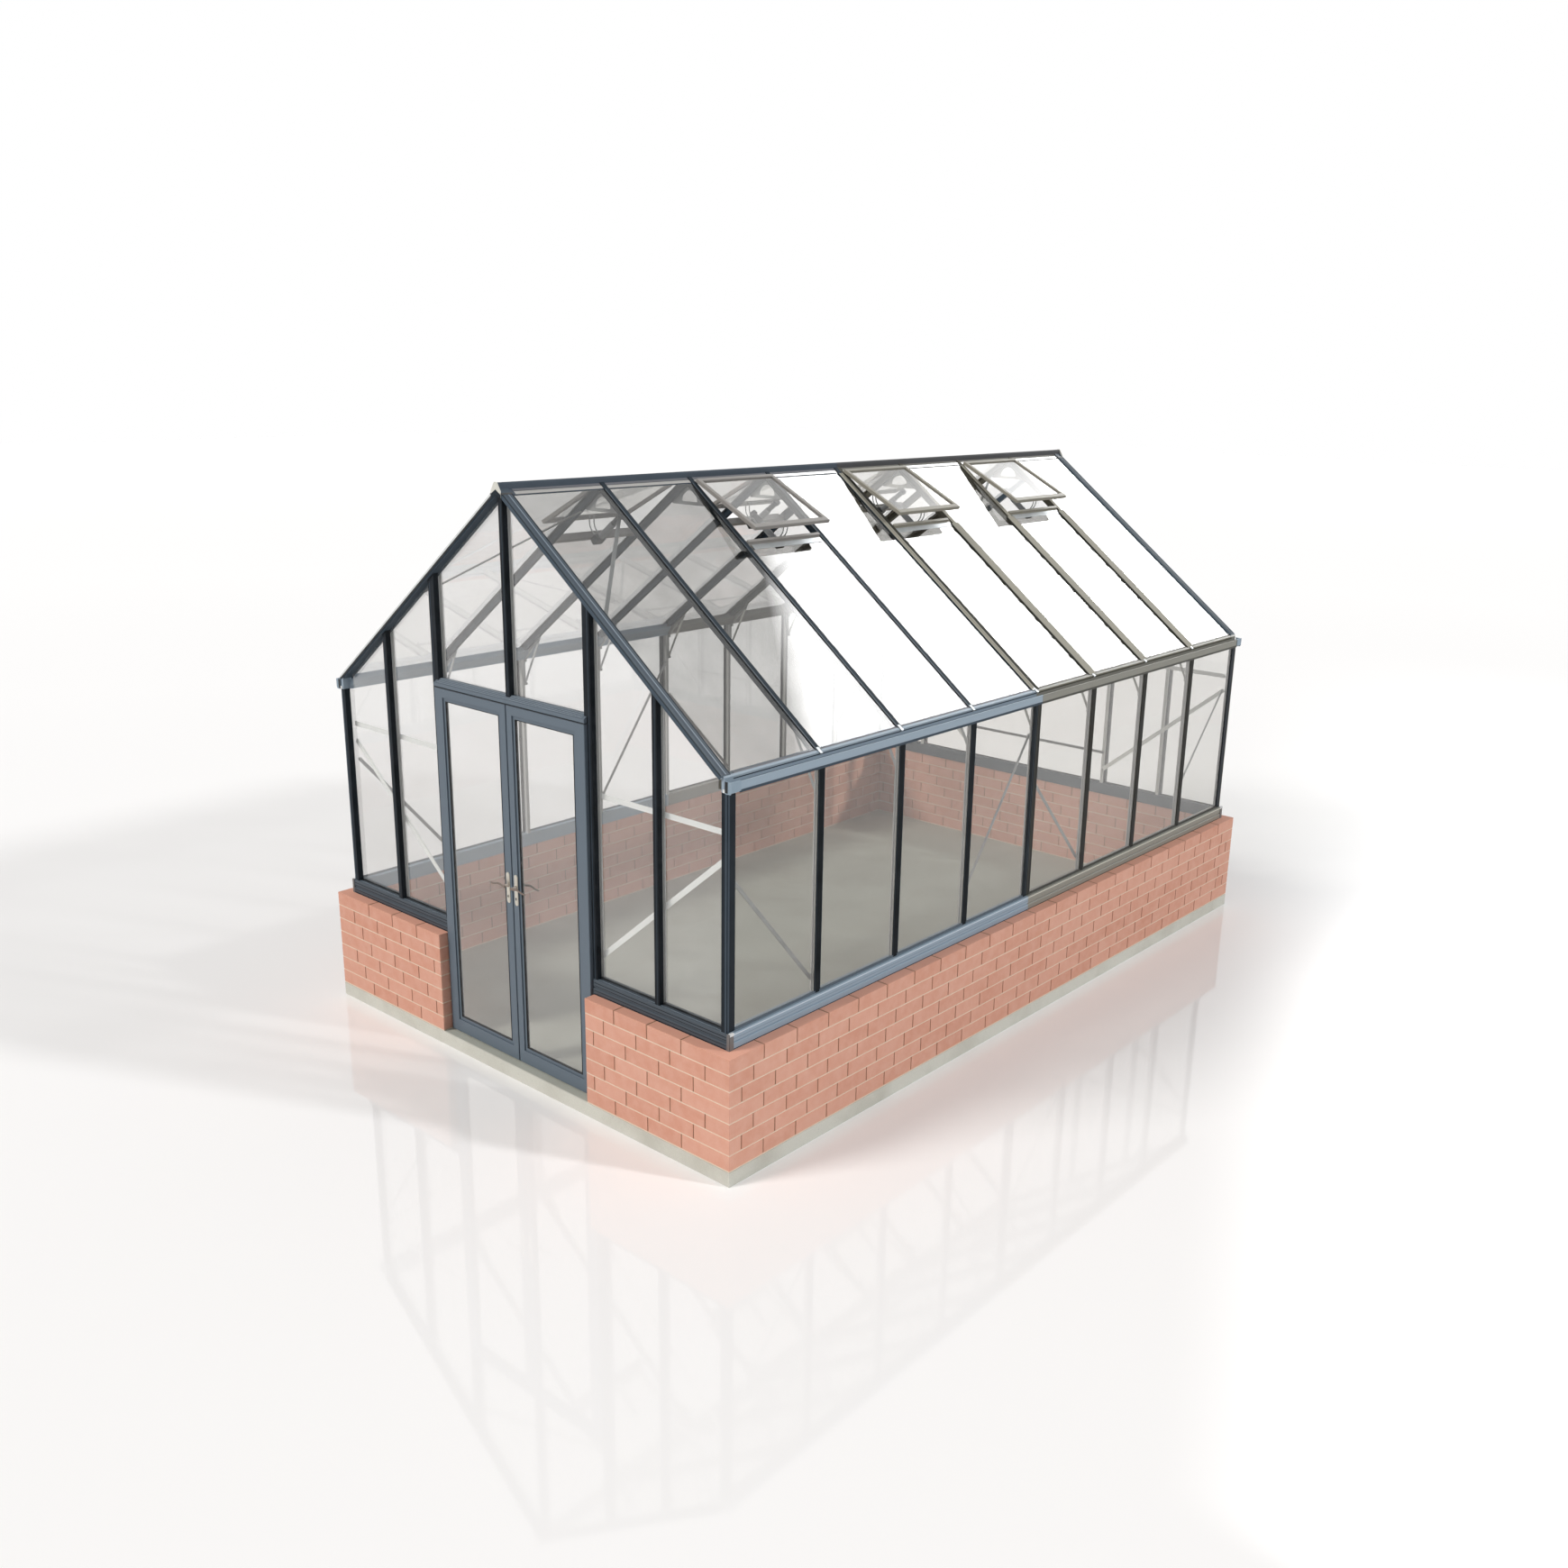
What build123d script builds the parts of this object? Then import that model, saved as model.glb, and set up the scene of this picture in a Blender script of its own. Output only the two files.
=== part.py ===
from build123d import *
import os
from math import atan2, cos, hypot, radians, sin, tan

os.makedirs("parts", exist_ok=True)

# Main sizes of the frame, in millimetres
BAY = 620.0
BAY_COUNT = 8
WIDTH = 3002.0
LENGTH = BAY * BAY_COUNT
HALF_WIDTH = WIDTH / 2
HALF_LENGTH = LENGTH / 2

# Heights above the ground
SLAB_TOP = 77.0
WALL_TOP = SLAB_TOP + 570.0
SILL_TOP = WALL_TOP + 81.0
EAVES = 1922.0
RIDGE = 3072.0
GUTTER_BASE = 1866.0

# Brick base wall
WALL_THICKNESS = 115.0
WALL_PROUD = 83.0
WALL_OUT_X = HALF_WIDTH + WALL_PROUD
WALL_OUT_Y = HALF_LENGTH + WALL_PROUD
WALL_IN_X = WALL_OUT_X - WALL_THICKNESS
WALL_IN_Y = WALL_OUT_Y - WALL_THICKNESS
SLAB_ARRIS = 4.0

# Roof slope
PITCH = atan2(RIDGE - EAVES, HALF_WIDTH)
SLOPE_LENGTH = hypot(RIDGE - EAVES, HALF_WIDTH)
ROOF_BAR_END = 1840.0
ROOF_CAP_END = 1866.0
ROOF_GLASS_START = 62.0
ROOF_GLASS_END = 1859.0

# Glazing bars
BAR_WIDTH = 32.0
BAR_DEPTH = 40.0
ROOF_BAR_WIDTH = 30.0
ROOF_BAR_DEPTH = 42.0
JOINT_BAR_WIDTH = 64.0
CAP = 5.0
WEB = 8.0
FLANGE = 22.0
FLANGE_THICKNESS = 7.0
POST_LEG = 36.0
POST_CORE = 26.0

# Gable bars stand proud of the corner, with a deep nose in front of the glass
GABLE_PROUD = 15.0
NOSE = 30.0
GABLE_BAR_DEPTH = 57.0
GABLE_FACE = HALF_LENGTH + GABLE_PROUD

# Gable rafters: wide cap, short front leg, core and inner leg
RAFTER_FACE = HALF_LENGTH + 33.0
RAFTER_WIDTH = 64.0
RAFTER_FRONT_LEG = 19.0
RAFTER_CORE = 26.0
RAFTER_INNER_LEG = 52.0
RAFTER_INNER_FACE = 60.0
RAFTER_DEPTH = 34.0

# Glass
GLASS = 3.0
GLASS_EDGE = 6.0
POST_GLASS_EDGE = POST_CORE + 2.0
DOOR_POST_GLASS_EDGE = 14.0

# Gable bars and doorway
OUTER_GABLE_BAR = 1043.0
DOOR_POST = 593.0
DOOR_POST_WIDTH = 50.0
DOOR_POST_WEB = 24.0
DOOR_POST_FLANGE = 44.0
RETURN_END = 598.0
HEAD_BASE = 2022.0
HEAD_TOP = 2063.0
THRESHOLD_TOP = 97.0

# Door leaves
LEAF_HINGE = 587.0
LEAF_MEETING = 4.0
LEAF_BASE = 84.0
LEAF_TOP = 2017.0
LEAF_BACK = 7.0
LEAF_DEPTH = 26.0
OUTER_STILE = 84.0
MEETING_STILE = 60.0
TOP_RAIL = 64.0
BOTTOM_RAIL = 92.0
BEAD = 18.0
BEAD_DROP = 7.0
LEAF_GLASS = 4.0
LEAF_BEVEL = 2.0
LEAF_GAP = 6.0

# Ridge
RIDGE_HALF_WEB = 10.0
RIDGE_WEB_BASE = 3040.0
RIDGE_WING_END = 52.0
RIDGE_WING = 6.0
COMB = 19.0

# Roof vents
RIGHT_VENT_BAYS = (2, 4, 6)
LEFT_VENT_BAYS = (1, 3, 5)
VENT_HINGE = 58.0
VENT_LIFT = 3.0
VENT_LENGTH = 486.0
VENT_FALL = 27.2
VENT_CLEAR = 10.0
VENT_STILE = 24.0
VENT_RAIL = 34.0
VENT_DEPTH = 20.0
CILL_START = 520.0
CILL_END = 548.0


def roof_z(x, offset=0.0):
    """Height of the roof surface at a distance from the ridge line."""
    return RIDGE + offset / cos(PITCH) - abs(x) * tan(PITCH)


def prism(points, plane, length):
    """A straight bar with the given outline, along the normal of its plane."""
    face = make_face(Polyline(*points, close=True))
    return extrude(plane * face, amount=length, dir=plane.z_dir)


def along_y(points_xz, y_low, y_high):
    """A bar that runs front to back, from an outline in X and Z."""
    return prism(points_xz, Plane.XZ.offset(-y_high), y_high - y_low)


def along_x(points_yz, x_low, x_high):
    """A bar that runs across, from an outline in Y and Z."""
    return prism(points_yz, Plane.YZ.offset(x_low), x_high - x_low)


def upright(points_xy, z_low, z_high):
    """A post from an outline in X and Y."""
    return prism(points_xy, Plane.XY.offset(z_low), z_high - z_low)


def block(x_range, y_range, z_range):
    """A square-edged block between three pairs of limits."""
    size = [high - low for low, high in (x_range, y_range, z_range)]
    middle = [(high + low) / 2 for low, high in (x_range, y_range, z_range)]
    return Pos(*middle) * Box(*size)


def on_slope(points, y, start, end):
    """A bar that runs down the right-hand slope, from an outline in Y and outwards."""
    down = Vector(cos(PITCH), 0, -sin(PITCH))
    origin = Vector(0, y, RIDGE) + down * start
    plane = Plane(origin=origin, x_dir=(0, 1, 0), z_dir=down)
    return prism(points, plane, end - start)


def left_of(shape):
    """The same piece on the left-hand side."""
    return mirror(shape, Plane.YZ)


def save(node, solids):
    """Writes one node as a file of solids."""
    export_step(Compound(label=node, children=list(solids)), f"parts/{node}.step")


# Section of a glazing bar: cap outside, web, and flange inside
def bar_section(width, depth, flange=FLANGE):
    cap = width / 2
    web = WEB / 2
    foot = flange / 2
    edge = 1.5
    right = [
        (cap - edge, 0.0),
        (cap, -edge),
        (cap, -CAP),
        (web, -CAP),
        (web, -depth + FLANGE_THICKNESS),
        (foot, -depth + FLANGE_THICKNESS),
        (foot, -depth),
    ]
    left = [(-u, v) for u, v in reversed(right)]
    return right + left


# Section of a gable bar: deep nose outside, web through the glass line, flange inside
def nose_section(width, web_width, flange):
    nose = width / 2
    web = web_width / 2
    foot = flange / 2
    edge = 2.0
    right = [
        (nose - edge, 0.0),
        (nose, -edge),
        (nose, -NOSE),
        (web, -NOSE),
        (web, -GABLE_BAR_DEPTH + FLANGE_THICKNESS),
        (foot, -GABLE_BAR_DEPTH + FLANGE_THICKNESS),
        (foot, -GABLE_BAR_DEPTH),
    ]
    left = [(-u, v) for u, v in reversed(right)]
    return right + left


# Section of a corner post: nose on the gable side, cap on the long side, square core
CORNER_CORE_DEPTH = 41.0
corner_leg = POST_LEG + GABLE_PROUD
corner_section = [
    (2.0, 0.0),
    (POST_LEG, 0.0),
    (POST_LEG, NOSE),
    (POST_CORE, NOSE),
    (POST_CORE, CORNER_CORE_DEPTH),
    (CAP, CORNER_CORE_DEPTH),
    (CAP, corner_leg),
    (0.0, corner_leg),
    (0.0, 2.0),
]

# Section of a gable rafter: distance inwards from its face, and depth
rafter_section = [
    (3.0, 0.0),
    (RAFTER_WIDTH - 3, 0.0),
    (RAFTER_WIDTH, 3.0),
    (RAFTER_WIDTH, CAP),
    (RAFTER_INNER_FACE, CAP),
    (RAFTER_INNER_FACE, RAFTER_DEPTH),
    (RAFTER_INNER_LEG, RAFTER_DEPTH),
    (RAFTER_INNER_LEG, RAFTER_CORE),
    (CAP, RAFTER_CORE),
    (CAP, RAFTER_FRONT_LEG),
    (0.0, RAFTER_FRONT_LEG),
    (0.0, 3.0),
]


# Everything above a line parallel to both slopes
def above_roof(offset):
    reach = HALF_WIDTH + 500
    outline = [
        (-reach, roof_z(reach, offset)),
        (0, roof_z(0, offset)),
        (reach, roof_z(reach, offset)),
        (reach, RIDGE + 500),
        (-reach, RIDGE + 500),
    ]
    return along_y(outline, -HALF_LENGTH - 300, HALF_LENGTH + 300)


bar_ys = [-HALF_LENGTH + BAY * i for i in range(1, BAY_COUNT)]
bay_ys = [(-HALF_LENGTH + BAY * i, -HALF_LENGTH + BAY * (i + 1)) for i in range(BAY_COUNT)]
ridge_gap = block((-BAY, RIDGE_HALF_WEB), (-LENGTH, LENGTH), (RIDGE - 400, RIDGE + 100))

# Ridge: web, wings under the caps of the bars, and a raised comb
wing_x = RIDGE_WING_END * cos(PITCH)
half_ridge = [
    (7.0, RIDGE + COMB),
    (RIDGE_HALF_WEB, RIDGE + COMB - 8),
    (RIDGE_HALF_WEB, roof_z(RIDGE_HALF_WEB, -CAP)),
    (wing_x, roof_z(wing_x, -CAP)),
    (wing_x, roof_z(wing_x, -CAP - RIDGE_WING)),
    (RIDGE_HALF_WEB, roof_z(RIDGE_HALF_WEB, -CAP - RIDGE_WING)),
    (RIDGE_HALF_WEB, RIDGE_WEB_BASE),
]
ridge_outline = half_ridge + [(-x, z) for x, z in reversed(half_ridge)]
ridge_whole = along_y(ridge_outline, -RAFTER_FACE, RAFTER_FACE)
ridge = ridge_whole - block((-BAY, BAY), (-0.5, 0.5), (0, 2 * RIDGE))
save("ridge", ridge.solids())

# Gable rafters; only their caps and front legs reach over the gutter
rafter_outline = [(a, -b) for a, b in rafter_section]
rafter_tail = [
    (3.0, 0.0),
    (RAFTER_WIDTH - 3, 0.0),
    (RAFTER_WIDTH, -3.0),
    (RAFTER_WIDTH, -CAP),
    (CAP, -CAP),
    (CAP, -RAFTER_FRONT_LEG),
    (0.0, -RAFTER_FRONT_LEG),
    (0.0, -3.0),
]
RAFTER_END = 1862.0
rafter_right = on_slope(rafter_outline, -RAFTER_FACE, 0, ROOF_BAR_END)
rafter_right = rafter_right + on_slope(rafter_tail, -RAFTER_FACE, ROOF_BAR_END, RAFTER_END)
rafter_right = rafter_right - ridge_gap - ridge_whole
front_rafters = [rafter_right, left_of(rafter_right)]
back_rafters = [mirror(rafter, Plane.XZ) for rafter in front_rafters]
save("gable_rafters", front_rafters + back_rafters)

# Foundation slab, flush with the brick faces
slab = block((-WALL_OUT_X, WALL_OUT_X), (-WALL_OUT_Y, WALL_OUT_Y), (0, SLAB_TOP))
slab = chamfer(slab.edges().group_by(Axis.Z)[-1], SLAB_ARRIS)
save("slab", [slab])

# Brick base walls
wall_right = block((WALL_IN_X, WALL_OUT_X), (-WALL_OUT_Y, WALL_OUT_Y), (SLAB_TOP, WALL_TOP))
wall_back = block((-WALL_IN_X, WALL_IN_X), (WALL_IN_Y, WALL_OUT_Y), (SLAB_TOP, WALL_TOP))
wall_front_right = block((RETURN_END, WALL_IN_X), (-WALL_OUT_Y, -WALL_IN_Y), (SLAB_TOP, WALL_TOP))
save("wall_right", [wall_right])
save("wall_left", [left_of(wall_right)])
save("wall_back", [wall_back])
save("wall_front_right", [wall_front_right])
save("wall_front_left", [left_of(wall_front_right)])

# Sill profile on the wall: stepped drip face, flat top
SILL_PROUD = 20.0
SILL_BACK = 42.0
SILL_STEP = 34.0


def sill_section(sign):
    """Outline in distance outwards from the frame face and height."""
    outline = [
        (-SILL_BACK, WALL_TOP),
        (SILL_PROUD, WALL_TOP),
        (SILL_PROUD, WALL_TOP + SILL_STEP - 4),
        (SILL_PROUD - 4, WALL_TOP + SILL_STEP),
        (SILL_PROUD - 7, WALL_TOP + SILL_STEP),
        (SILL_PROUD - 7, WALL_TOP + SILL_STEP + 5),
        (SILL_PROUD - 2, WALL_TOP + SILL_STEP + 8),
        (SILL_PROUD - 2, SILL_TOP - 5),
        (SILL_PROUD - 5, SILL_TOP),
        (-SILL_BACK, SILL_TOP),
    ]
    return [(sign * out, z) for out, z in outline]


def shifted(outline, distance):
    return [(u + distance, v) for u, v in outline]


def mitre_wedge(x_sign, y_sign, side):
    """Keeps the part of a corner on one side of its diagonal."""
    reach = 400.0
    corner = (x_sign * HALF_WIDTH, y_sign * HALF_LENGTH)
    outer = (corner[0] + x_sign * reach, corner[1] + y_sign * reach)
    inner = (corner[0] - x_sign * reach, corner[1] - y_sign * reach)
    if side == "long":
        third = (corner[0] - x_sign * reach, corner[1] + y_sign * reach)
    else:
        third = (corner[0] + x_sign * reach, corner[1] - y_sign * reach)
    return upright([outer, inner, third], WALL_TOP - 50, SILL_TOP + 50)


long_sill = along_y(
    shifted(sill_section(1), HALF_WIDTH), -HALF_LENGTH - SILL_PROUD, HALF_LENGTH + SILL_PROUD
)
long_sill = long_sill - mitre_wedge(1, -1, "long") - mitre_wedge(1, 1, "long")
splice = block((0, 2 * WIDTH), (-0.5, 0.5), (0, RIDGE))
sill_right = long_sill - splice
save("sill_right", sill_right.solids())
save("sill_left", left_of(sill_right).solids())

end_reach = HALF_WIDTH + SILL_PROUD
sill_back = along_x(shifted(sill_section(1), HALF_LENGTH), -end_reach, end_reach)
sill_back = sill_back - mitre_wedge(1, 1, "end") - mitre_wedge(-1, 1, "end")
save("sill_back", [sill_back])

sill_front = along_x(shifted(sill_section(-1), -HALF_LENGTH), LEAF_HINGE + LEAF_GAP, end_reach)
sill_front = sill_front - mitre_wedge(1, -1, "end")
save("sill_front", [sill_front, left_of(sill_front)])

# Corner posts
post_outline = [(HALF_WIDTH - a, -GABLE_FACE + b) for a, b in corner_section]
post = upright(post_outline, SILL_TOP, GUTTER_BASE)
rear_post = mirror(post, Plane.XZ)
save("corner_posts", [post, rear_post, left_of(post), left_of(rear_post)])

# Glazing bars of the long walls; the middle one covers the joint
middle_bar = BAY_COUNT // 2 - 1


def wall_bar(index):
    wide = JOINT_BAR_WIDTH if index == middle_bar else BAR_WIDTH
    outline = bar_section(wide, BAR_DEPTH)
    turned = [(HALF_WIDTH + v, bar_ys[index] + u) for u, v in outline]
    return upright(turned, SILL_TOP, GUTTER_BASE)


bars_right = [wall_bar(i) for i in range(BAY_COUNT - 1)]
save("bars_right", bars_right)
save("bars_left", [left_of(bar) for bar in bars_right])


# Bars of the gables, cut to the rafters and the ridge
roof_cut = above_roof(-RAFTER_CORE)


def gable_bar(x, base, y_sign, section):
    outline = [(x + u, y_sign * (GABLE_FACE + v)) for u, v in section]
    bar = upright(outline, base, RIDGE) - roof_cut - ridge_whole
    for rafter in front_rafters if y_sign < 0 else back_rafters:
        bar = bar - rafter
    if x == 0:
        bar = bar - block((-BAY, BAY), (-LENGTH, LENGTH), (RIDGE_WEB_BASE, RIDGE + 100))
    return bar


gable_section = nose_section(BAR_WIDTH, WEB, FLANGE)
post_section = nose_section(DOOR_POST_WIDTH, DOOR_POST_WEB, DOOR_POST_FLANGE)
back_outer = gable_bar(OUTER_GABLE_BAR, SILL_TOP, 1, gable_section)
back_inner = gable_bar(DOOR_POST, SILL_TOP, 1, gable_section)
back_centre = gable_bar(0, SILL_TOP, 1, gable_section)
save("bars_back", [back_outer, left_of(back_outer), back_inner, left_of(back_inner), back_centre])

# Door posts: rebated behind the leaves, notched beside the brickwork and the sill
door_post = gable_bar(DOOR_POST, SLAB_TOP, -1, post_section)
rebate_x = LEAF_HINGE + LEAF_GAP
rebate_y = HALF_LENGTH + LEAF_BACK - LEAF_GAP + 1
rebate = block((0, rebate_x), (-WALL_OUT_Y, -rebate_y), (0, HEAD_BASE))
notch = block((rebate_x - 1, WIDTH), (-WALL_OUT_Y, -WALL_IN_Y + 60), (0, SILL_TOP))
door_post = door_post - rebate - notch
save("door_posts", [door_post, left_of(door_post)])

# Door head with a ridged, sloping top, flush with the leaves, and threshold
inner_edge = DOOR_POST - DOOR_POST_WIDTH / 2
face_y = -HALF_LENGTH
head_y = face_y - LEAF_BACK - LEAF_DEPTH
back_y = -GABLE_FACE + GABLE_BAR_DEPTH
HEAD_FRONT = 21.0
HEAD_STEPS = 4
step_run = (-GABLE_FACE + 12 - head_y) / HEAD_STEPS
step_rise = (HEAD_TOP - HEAD_BASE - HEAD_FRONT) / HEAD_STEPS
glass_back_y = -GABLE_FACE + NOSE + GLASS
HEAD_BACK_DROP = 20.0
head_outline = [
    (glass_back_y, HEAD_TOP),
    (glass_back_y, HEAD_TOP - HEAD_BACK_DROP),
    (back_y, HEAD_TOP - HEAD_BACK_DROP),
    (back_y, HEAD_BASE),
    (head_y, HEAD_BASE),
]
head_outline.append((head_y, HEAD_BASE + HEAD_FRONT))
for i in range(1, HEAD_STEPS + 1):
    step_y = head_y + step_run * i
    step_z = HEAD_BASE + HEAD_FRONT + step_rise * i
    head_outline.append((step_y - 2, step_z - step_rise + 1.5))
    if i < HEAD_STEPS:
        head_outline.append((step_y, step_z))
    else:
        head_outline.append((step_y, HEAD_TOP))
head = along_x(head_outline, -LEAF_HINGE, LEAF_HINGE)
for sign in (-1, 1):
    corner_x = sorted((sign * inner_edge, sign * (LEAF_HINGE + 1)))
    head = head - block(corner_x, (-GABLE_FACE, face_y + BAY), (HEAD_BASE - 1, HEAD_TOP + 1))
save("door_head", [head])
threshold_outline = [
    (face_y, SLAB_TOP),
    (face_y + BAR_DEPTH, SLAB_TOP),
    (face_y + BAR_DEPTH, THRESHOLD_TOP - 8),
    (face_y + BAR_DEPTH - 14, THRESHOLD_TOP),
    (face_y + 2, THRESHOLD_TOP),
    (face_y, THRESHOLD_TOP - 4),
]
save("threshold", [along_x(threshold_outline, -inner_edge, inner_edge)])

# Front gable bars; the middle one stands on the door head
front_outer = gable_bar(OUTER_GABLE_BAR, SILL_TOP, -1, gable_section)
front_centre = gable_bar(0, HEAD_TOP - 16, -1, gable_section) - head
save("bars_front", [front_outer, left_of(front_outer), front_centre])


# Roof bars; the middle one covers the joint, and all caps reach onto the gutter
def roof_bar(index):
    wide = JOINT_BAR_WIDTH if index == middle_bar else ROOF_BAR_WIDTH
    bar = on_slope(bar_section(wide, ROOF_BAR_DEPTH), bar_ys[index], 0, ROOF_BAR_END)
    half = wide / 2
    cap = [(half, 0.0), (half, -CAP), (-half, -CAP), (-half, 0.0)]
    bar = bar + on_slope(cap, bar_ys[index], ROOF_BAR_END, ROOF_CAP_END)
    return bar - ridge_gap - ridge_whole


roof_bars = [roof_bar(i) for i in range(BAY_COUNT - 1)]
save("roof_bars_right", roof_bars)
save("roof_bars_left", [left_of(bar) for bar in roof_bars])

# Gutter: ledge for the roof bars, upstand behind the glass edge, and channel
GUTTER_SEAT = 1458.0
UPSTAND_IN = 1476.0
UPSTAND_OUT = 1486.0
GUTTER_FLOOR = 1888.0
GUTTER_LIP = 1918.0
LIP_IN = 1521.0
LIP_OUT = 1528.0
LEDGE_IN = 1420.0
glass_under = -CAP - GLASS
gutter_outline = [
    (HALF_WIDTH - 50, GUTTER_BASE),
    (HALF_WIDTH, GUTTER_BASE),
    (LIP_OUT - 7, GUTTER_BASE + 2),
    (LIP_OUT - 2, GUTTER_BASE + 5),
    (LIP_OUT, GUTTER_BASE + 11),
    (LIP_OUT, GUTTER_LIP - 2),
    (LIP_OUT - 2, GUTTER_LIP),
    (LIP_IN, GUTTER_LIP),
    (LIP_IN, GUTTER_FLOOR + 3),
    (LIP_IN - 3, GUTTER_FLOOR),
    (UPSTAND_OUT, GUTTER_FLOOR),
    (UPSTAND_OUT, roof_z(UPSTAND_OUT) - 1),
    (UPSTAND_IN, roof_z(UPSTAND_IN) - 1),
    (UPSTAND_IN, roof_z(UPSTAND_IN, glass_under)),
    (GUTTER_SEAT, roof_z(GUTTER_SEAT, glass_under)),
    (GUTTER_SEAT, roof_z(GUTTER_SEAT, -ROOF_BAR_DEPTH)),
    (LEDGE_IN, roof_z(LEDGE_IN, -ROOF_BAR_DEPTH)),
    (LEDGE_IN, roof_z(LEDGE_IN, -ROOF_BAR_DEPTH) - 12),
    (HALF_WIDTH - 50, GUTTER_BASE + 12),
]
GUTTER_END = GABLE_FACE + 4
gutter_right = along_y(gutter_outline, -GUTTER_END, GUTTER_END) - splice
for piece in roof_bars + [front_rafters[0], back_rafters[0]]:
    gutter_right = gutter_right - piece
seat_end = GABLE_FACE - NOSE - GLASS - 2
for sign in (-1, 1):
    beyond = sorted((sign * seat_end, sign * LENGTH))
    gutter_right = gutter_right - block((0, UPSTAND_IN - 8), beyond, (0, RIDGE))
save("gutter_right", gutter_right.solids())
save("gutter_left", left_of(gutter_right).solids())

# Clips that hold the glass at the foot of each roof bar
CLIP_HALF = 9.0
CLIP = 2.0
CLIP_END = ROOF_CAP_END + 17.0


def clip(y):
    top = [(-CLIP_HALF, CLIP), (CLIP_HALF, CLIP), (CLIP_HALF, 0.0), (-CLIP_HALF, 0.0)]
    hook = [(-CLIP_HALF, 0.0), (CLIP_HALF, 0.0), (CLIP_HALF, -9.0), (-CLIP_HALF, -9.0)]
    plate = on_slope(top, y, ROOF_CAP_END - 20, CLIP_END)
    return plate + on_slope(hook, y, CLIP_END - CLIP, CLIP_END)


clips_right = [clip(y) for y in bar_ys]
save("glazing_clips", clips_right + [left_of(piece) for piece in clips_right])

# End caps of the ridge and of both gutters
CAP_PLATE = 4.0
RIDGE_CAP_HALF = 36.0
half_ridge_cap = [
    (8.0, RIDGE + COMB + 3),
    (14.0, RIDGE + COMB - 2),
    (RIDGE_CAP_HALF, roof_z(RIDGE_CAP_HALF, 6.0)),
    (RIDGE_CAP_HALF, roof_z(RIDGE_CAP_HALF, -RAFTER_FRONT_LEG)),
    (8.0, roof_z(16.0, -RAFTER_FRONT_LEG) - 4),
]
ridge_cap_outline = half_ridge_cap + [(-x, z) for x, z in reversed(half_ridge_cap)]
ridge_cap = along_y(ridge_cap_outline, -RAFTER_FACE - CAP_PLATE, -RAFTER_FACE)
CAP_IN = 1492.0
CAP_WRAP = 58.0
gutter_cap_outline = [
    (CAP_IN, GUTTER_BASE),
    (HALF_WIDTH, GUTTER_BASE - 3),
    (LIP_OUT - 3, GUTTER_BASE - 1),
    (LIP_OUT + 3, GUTTER_BASE + 9),
    (LIP_OUT + 3, GUTTER_LIP + 2),
    (CAP_IN, GUTTER_LIP + 4),
]
wrap_outline = [
    (LIP_OUT, GUTTER_BASE + 11),
    (LIP_OUT + 3, GUTTER_BASE + 9),
    (LIP_OUT + 3, GUTTER_LIP + 2),
    (LIP_IN, GUTTER_LIP + 2),
    (LIP_IN, GUTTER_LIP),
    (LIP_OUT - 2, GUTTER_LIP),
    (LIP_OUT, GUTTER_LIP - 2),
]
gutter_cap = along_y(gutter_cap_outline, -GUTTER_END - CAP_PLATE, -GUTTER_END)
gutter_cap = gutter_cap + along_y(wrap_outline, -GUTTER_END, -GUTTER_END + CAP_WRAP)
front_caps = [ridge_cap, gutter_cap, left_of(gutter_cap)]
save("end_caps", front_caps + [mirror(cap, Plane.XZ) for cap in front_caps])


# Glass of the long walls, one sheet to a bay
def bay_glass_limits(index):
    low, high = bay_ys[index]
    low += POST_GLASS_EDGE if index == 0 else GLASS_EDGE
    high -= POST_GLASS_EDGE if index == BAY_COUNT - 1 else GLASS_EDGE
    return low, high


glass_x = (HALF_WIDTH - CAP - GLASS, HALF_WIDTH - CAP)
glass_right = [
    block(glass_x, bay_glass_limits(i), (SILL_TOP, GUTTER_BASE)) for i in range(BAY_COUNT)
]
save("glass_right", glass_right)
save("glass_left", [left_of(pane) for pane in glass_right])

# Glass of the gables, cut to the slope
gable_cut = above_roof(-RAFTER_CORE - 1)
gutter_clear = block((LEDGE_IN - 4, WIDTH), (-LENGTH, LENGTH), (GUTTER_BASE - 2, RIDGE))
ridge_clear = block(
    (-RIDGE_HALF_WEB - 2, RIDGE_HALF_WEB + 2), (-LENGTH, LENGTH), (RIDGE_WEB_BASE - 2, RIDGE)
)


def gable_pane(x_low, x_high, base, y_sign):
    depth = sorted((y_sign * (GABLE_FACE - NOSE), y_sign * (GABLE_FACE - NOSE - GLASS)))
    pane = block((x_low, x_high), depth, (base, RIDGE))
    return pane - gable_cut - gutter_clear - ridge_clear


corner_edge = HALF_WIDTH - POST_GLASS_EDGE
front_panes = [
    gable_pane(OUTER_GABLE_BAR + GLASS_EDGE, corner_edge, SILL_TOP, -1),
    gable_pane(DOOR_POST + DOOR_POST_GLASS_EDGE, OUTER_GABLE_BAR - GLASS_EDGE, SILL_TOP, -1),
    gable_pane(GLASS_EDGE, DOOR_POST - DOOR_POST_GLASS_EDGE, HEAD_TOP, -1),
]
save("glass_front", front_panes + [left_of(pane) for pane in front_panes])
back_panes = [
    gable_pane(OUTER_GABLE_BAR + GLASS_EDGE, corner_edge, SILL_TOP, 1),
    gable_pane(DOOR_POST + GLASS_EDGE, OUTER_GABLE_BAR - GLASS_EDGE, SILL_TOP, 1),
    gable_pane(GLASS_EDGE, DOOR_POST - GLASS_EDGE, SILL_TOP, 1),
]
save("glass_back", back_panes + [left_of(pane) for pane in back_panes])


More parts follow.
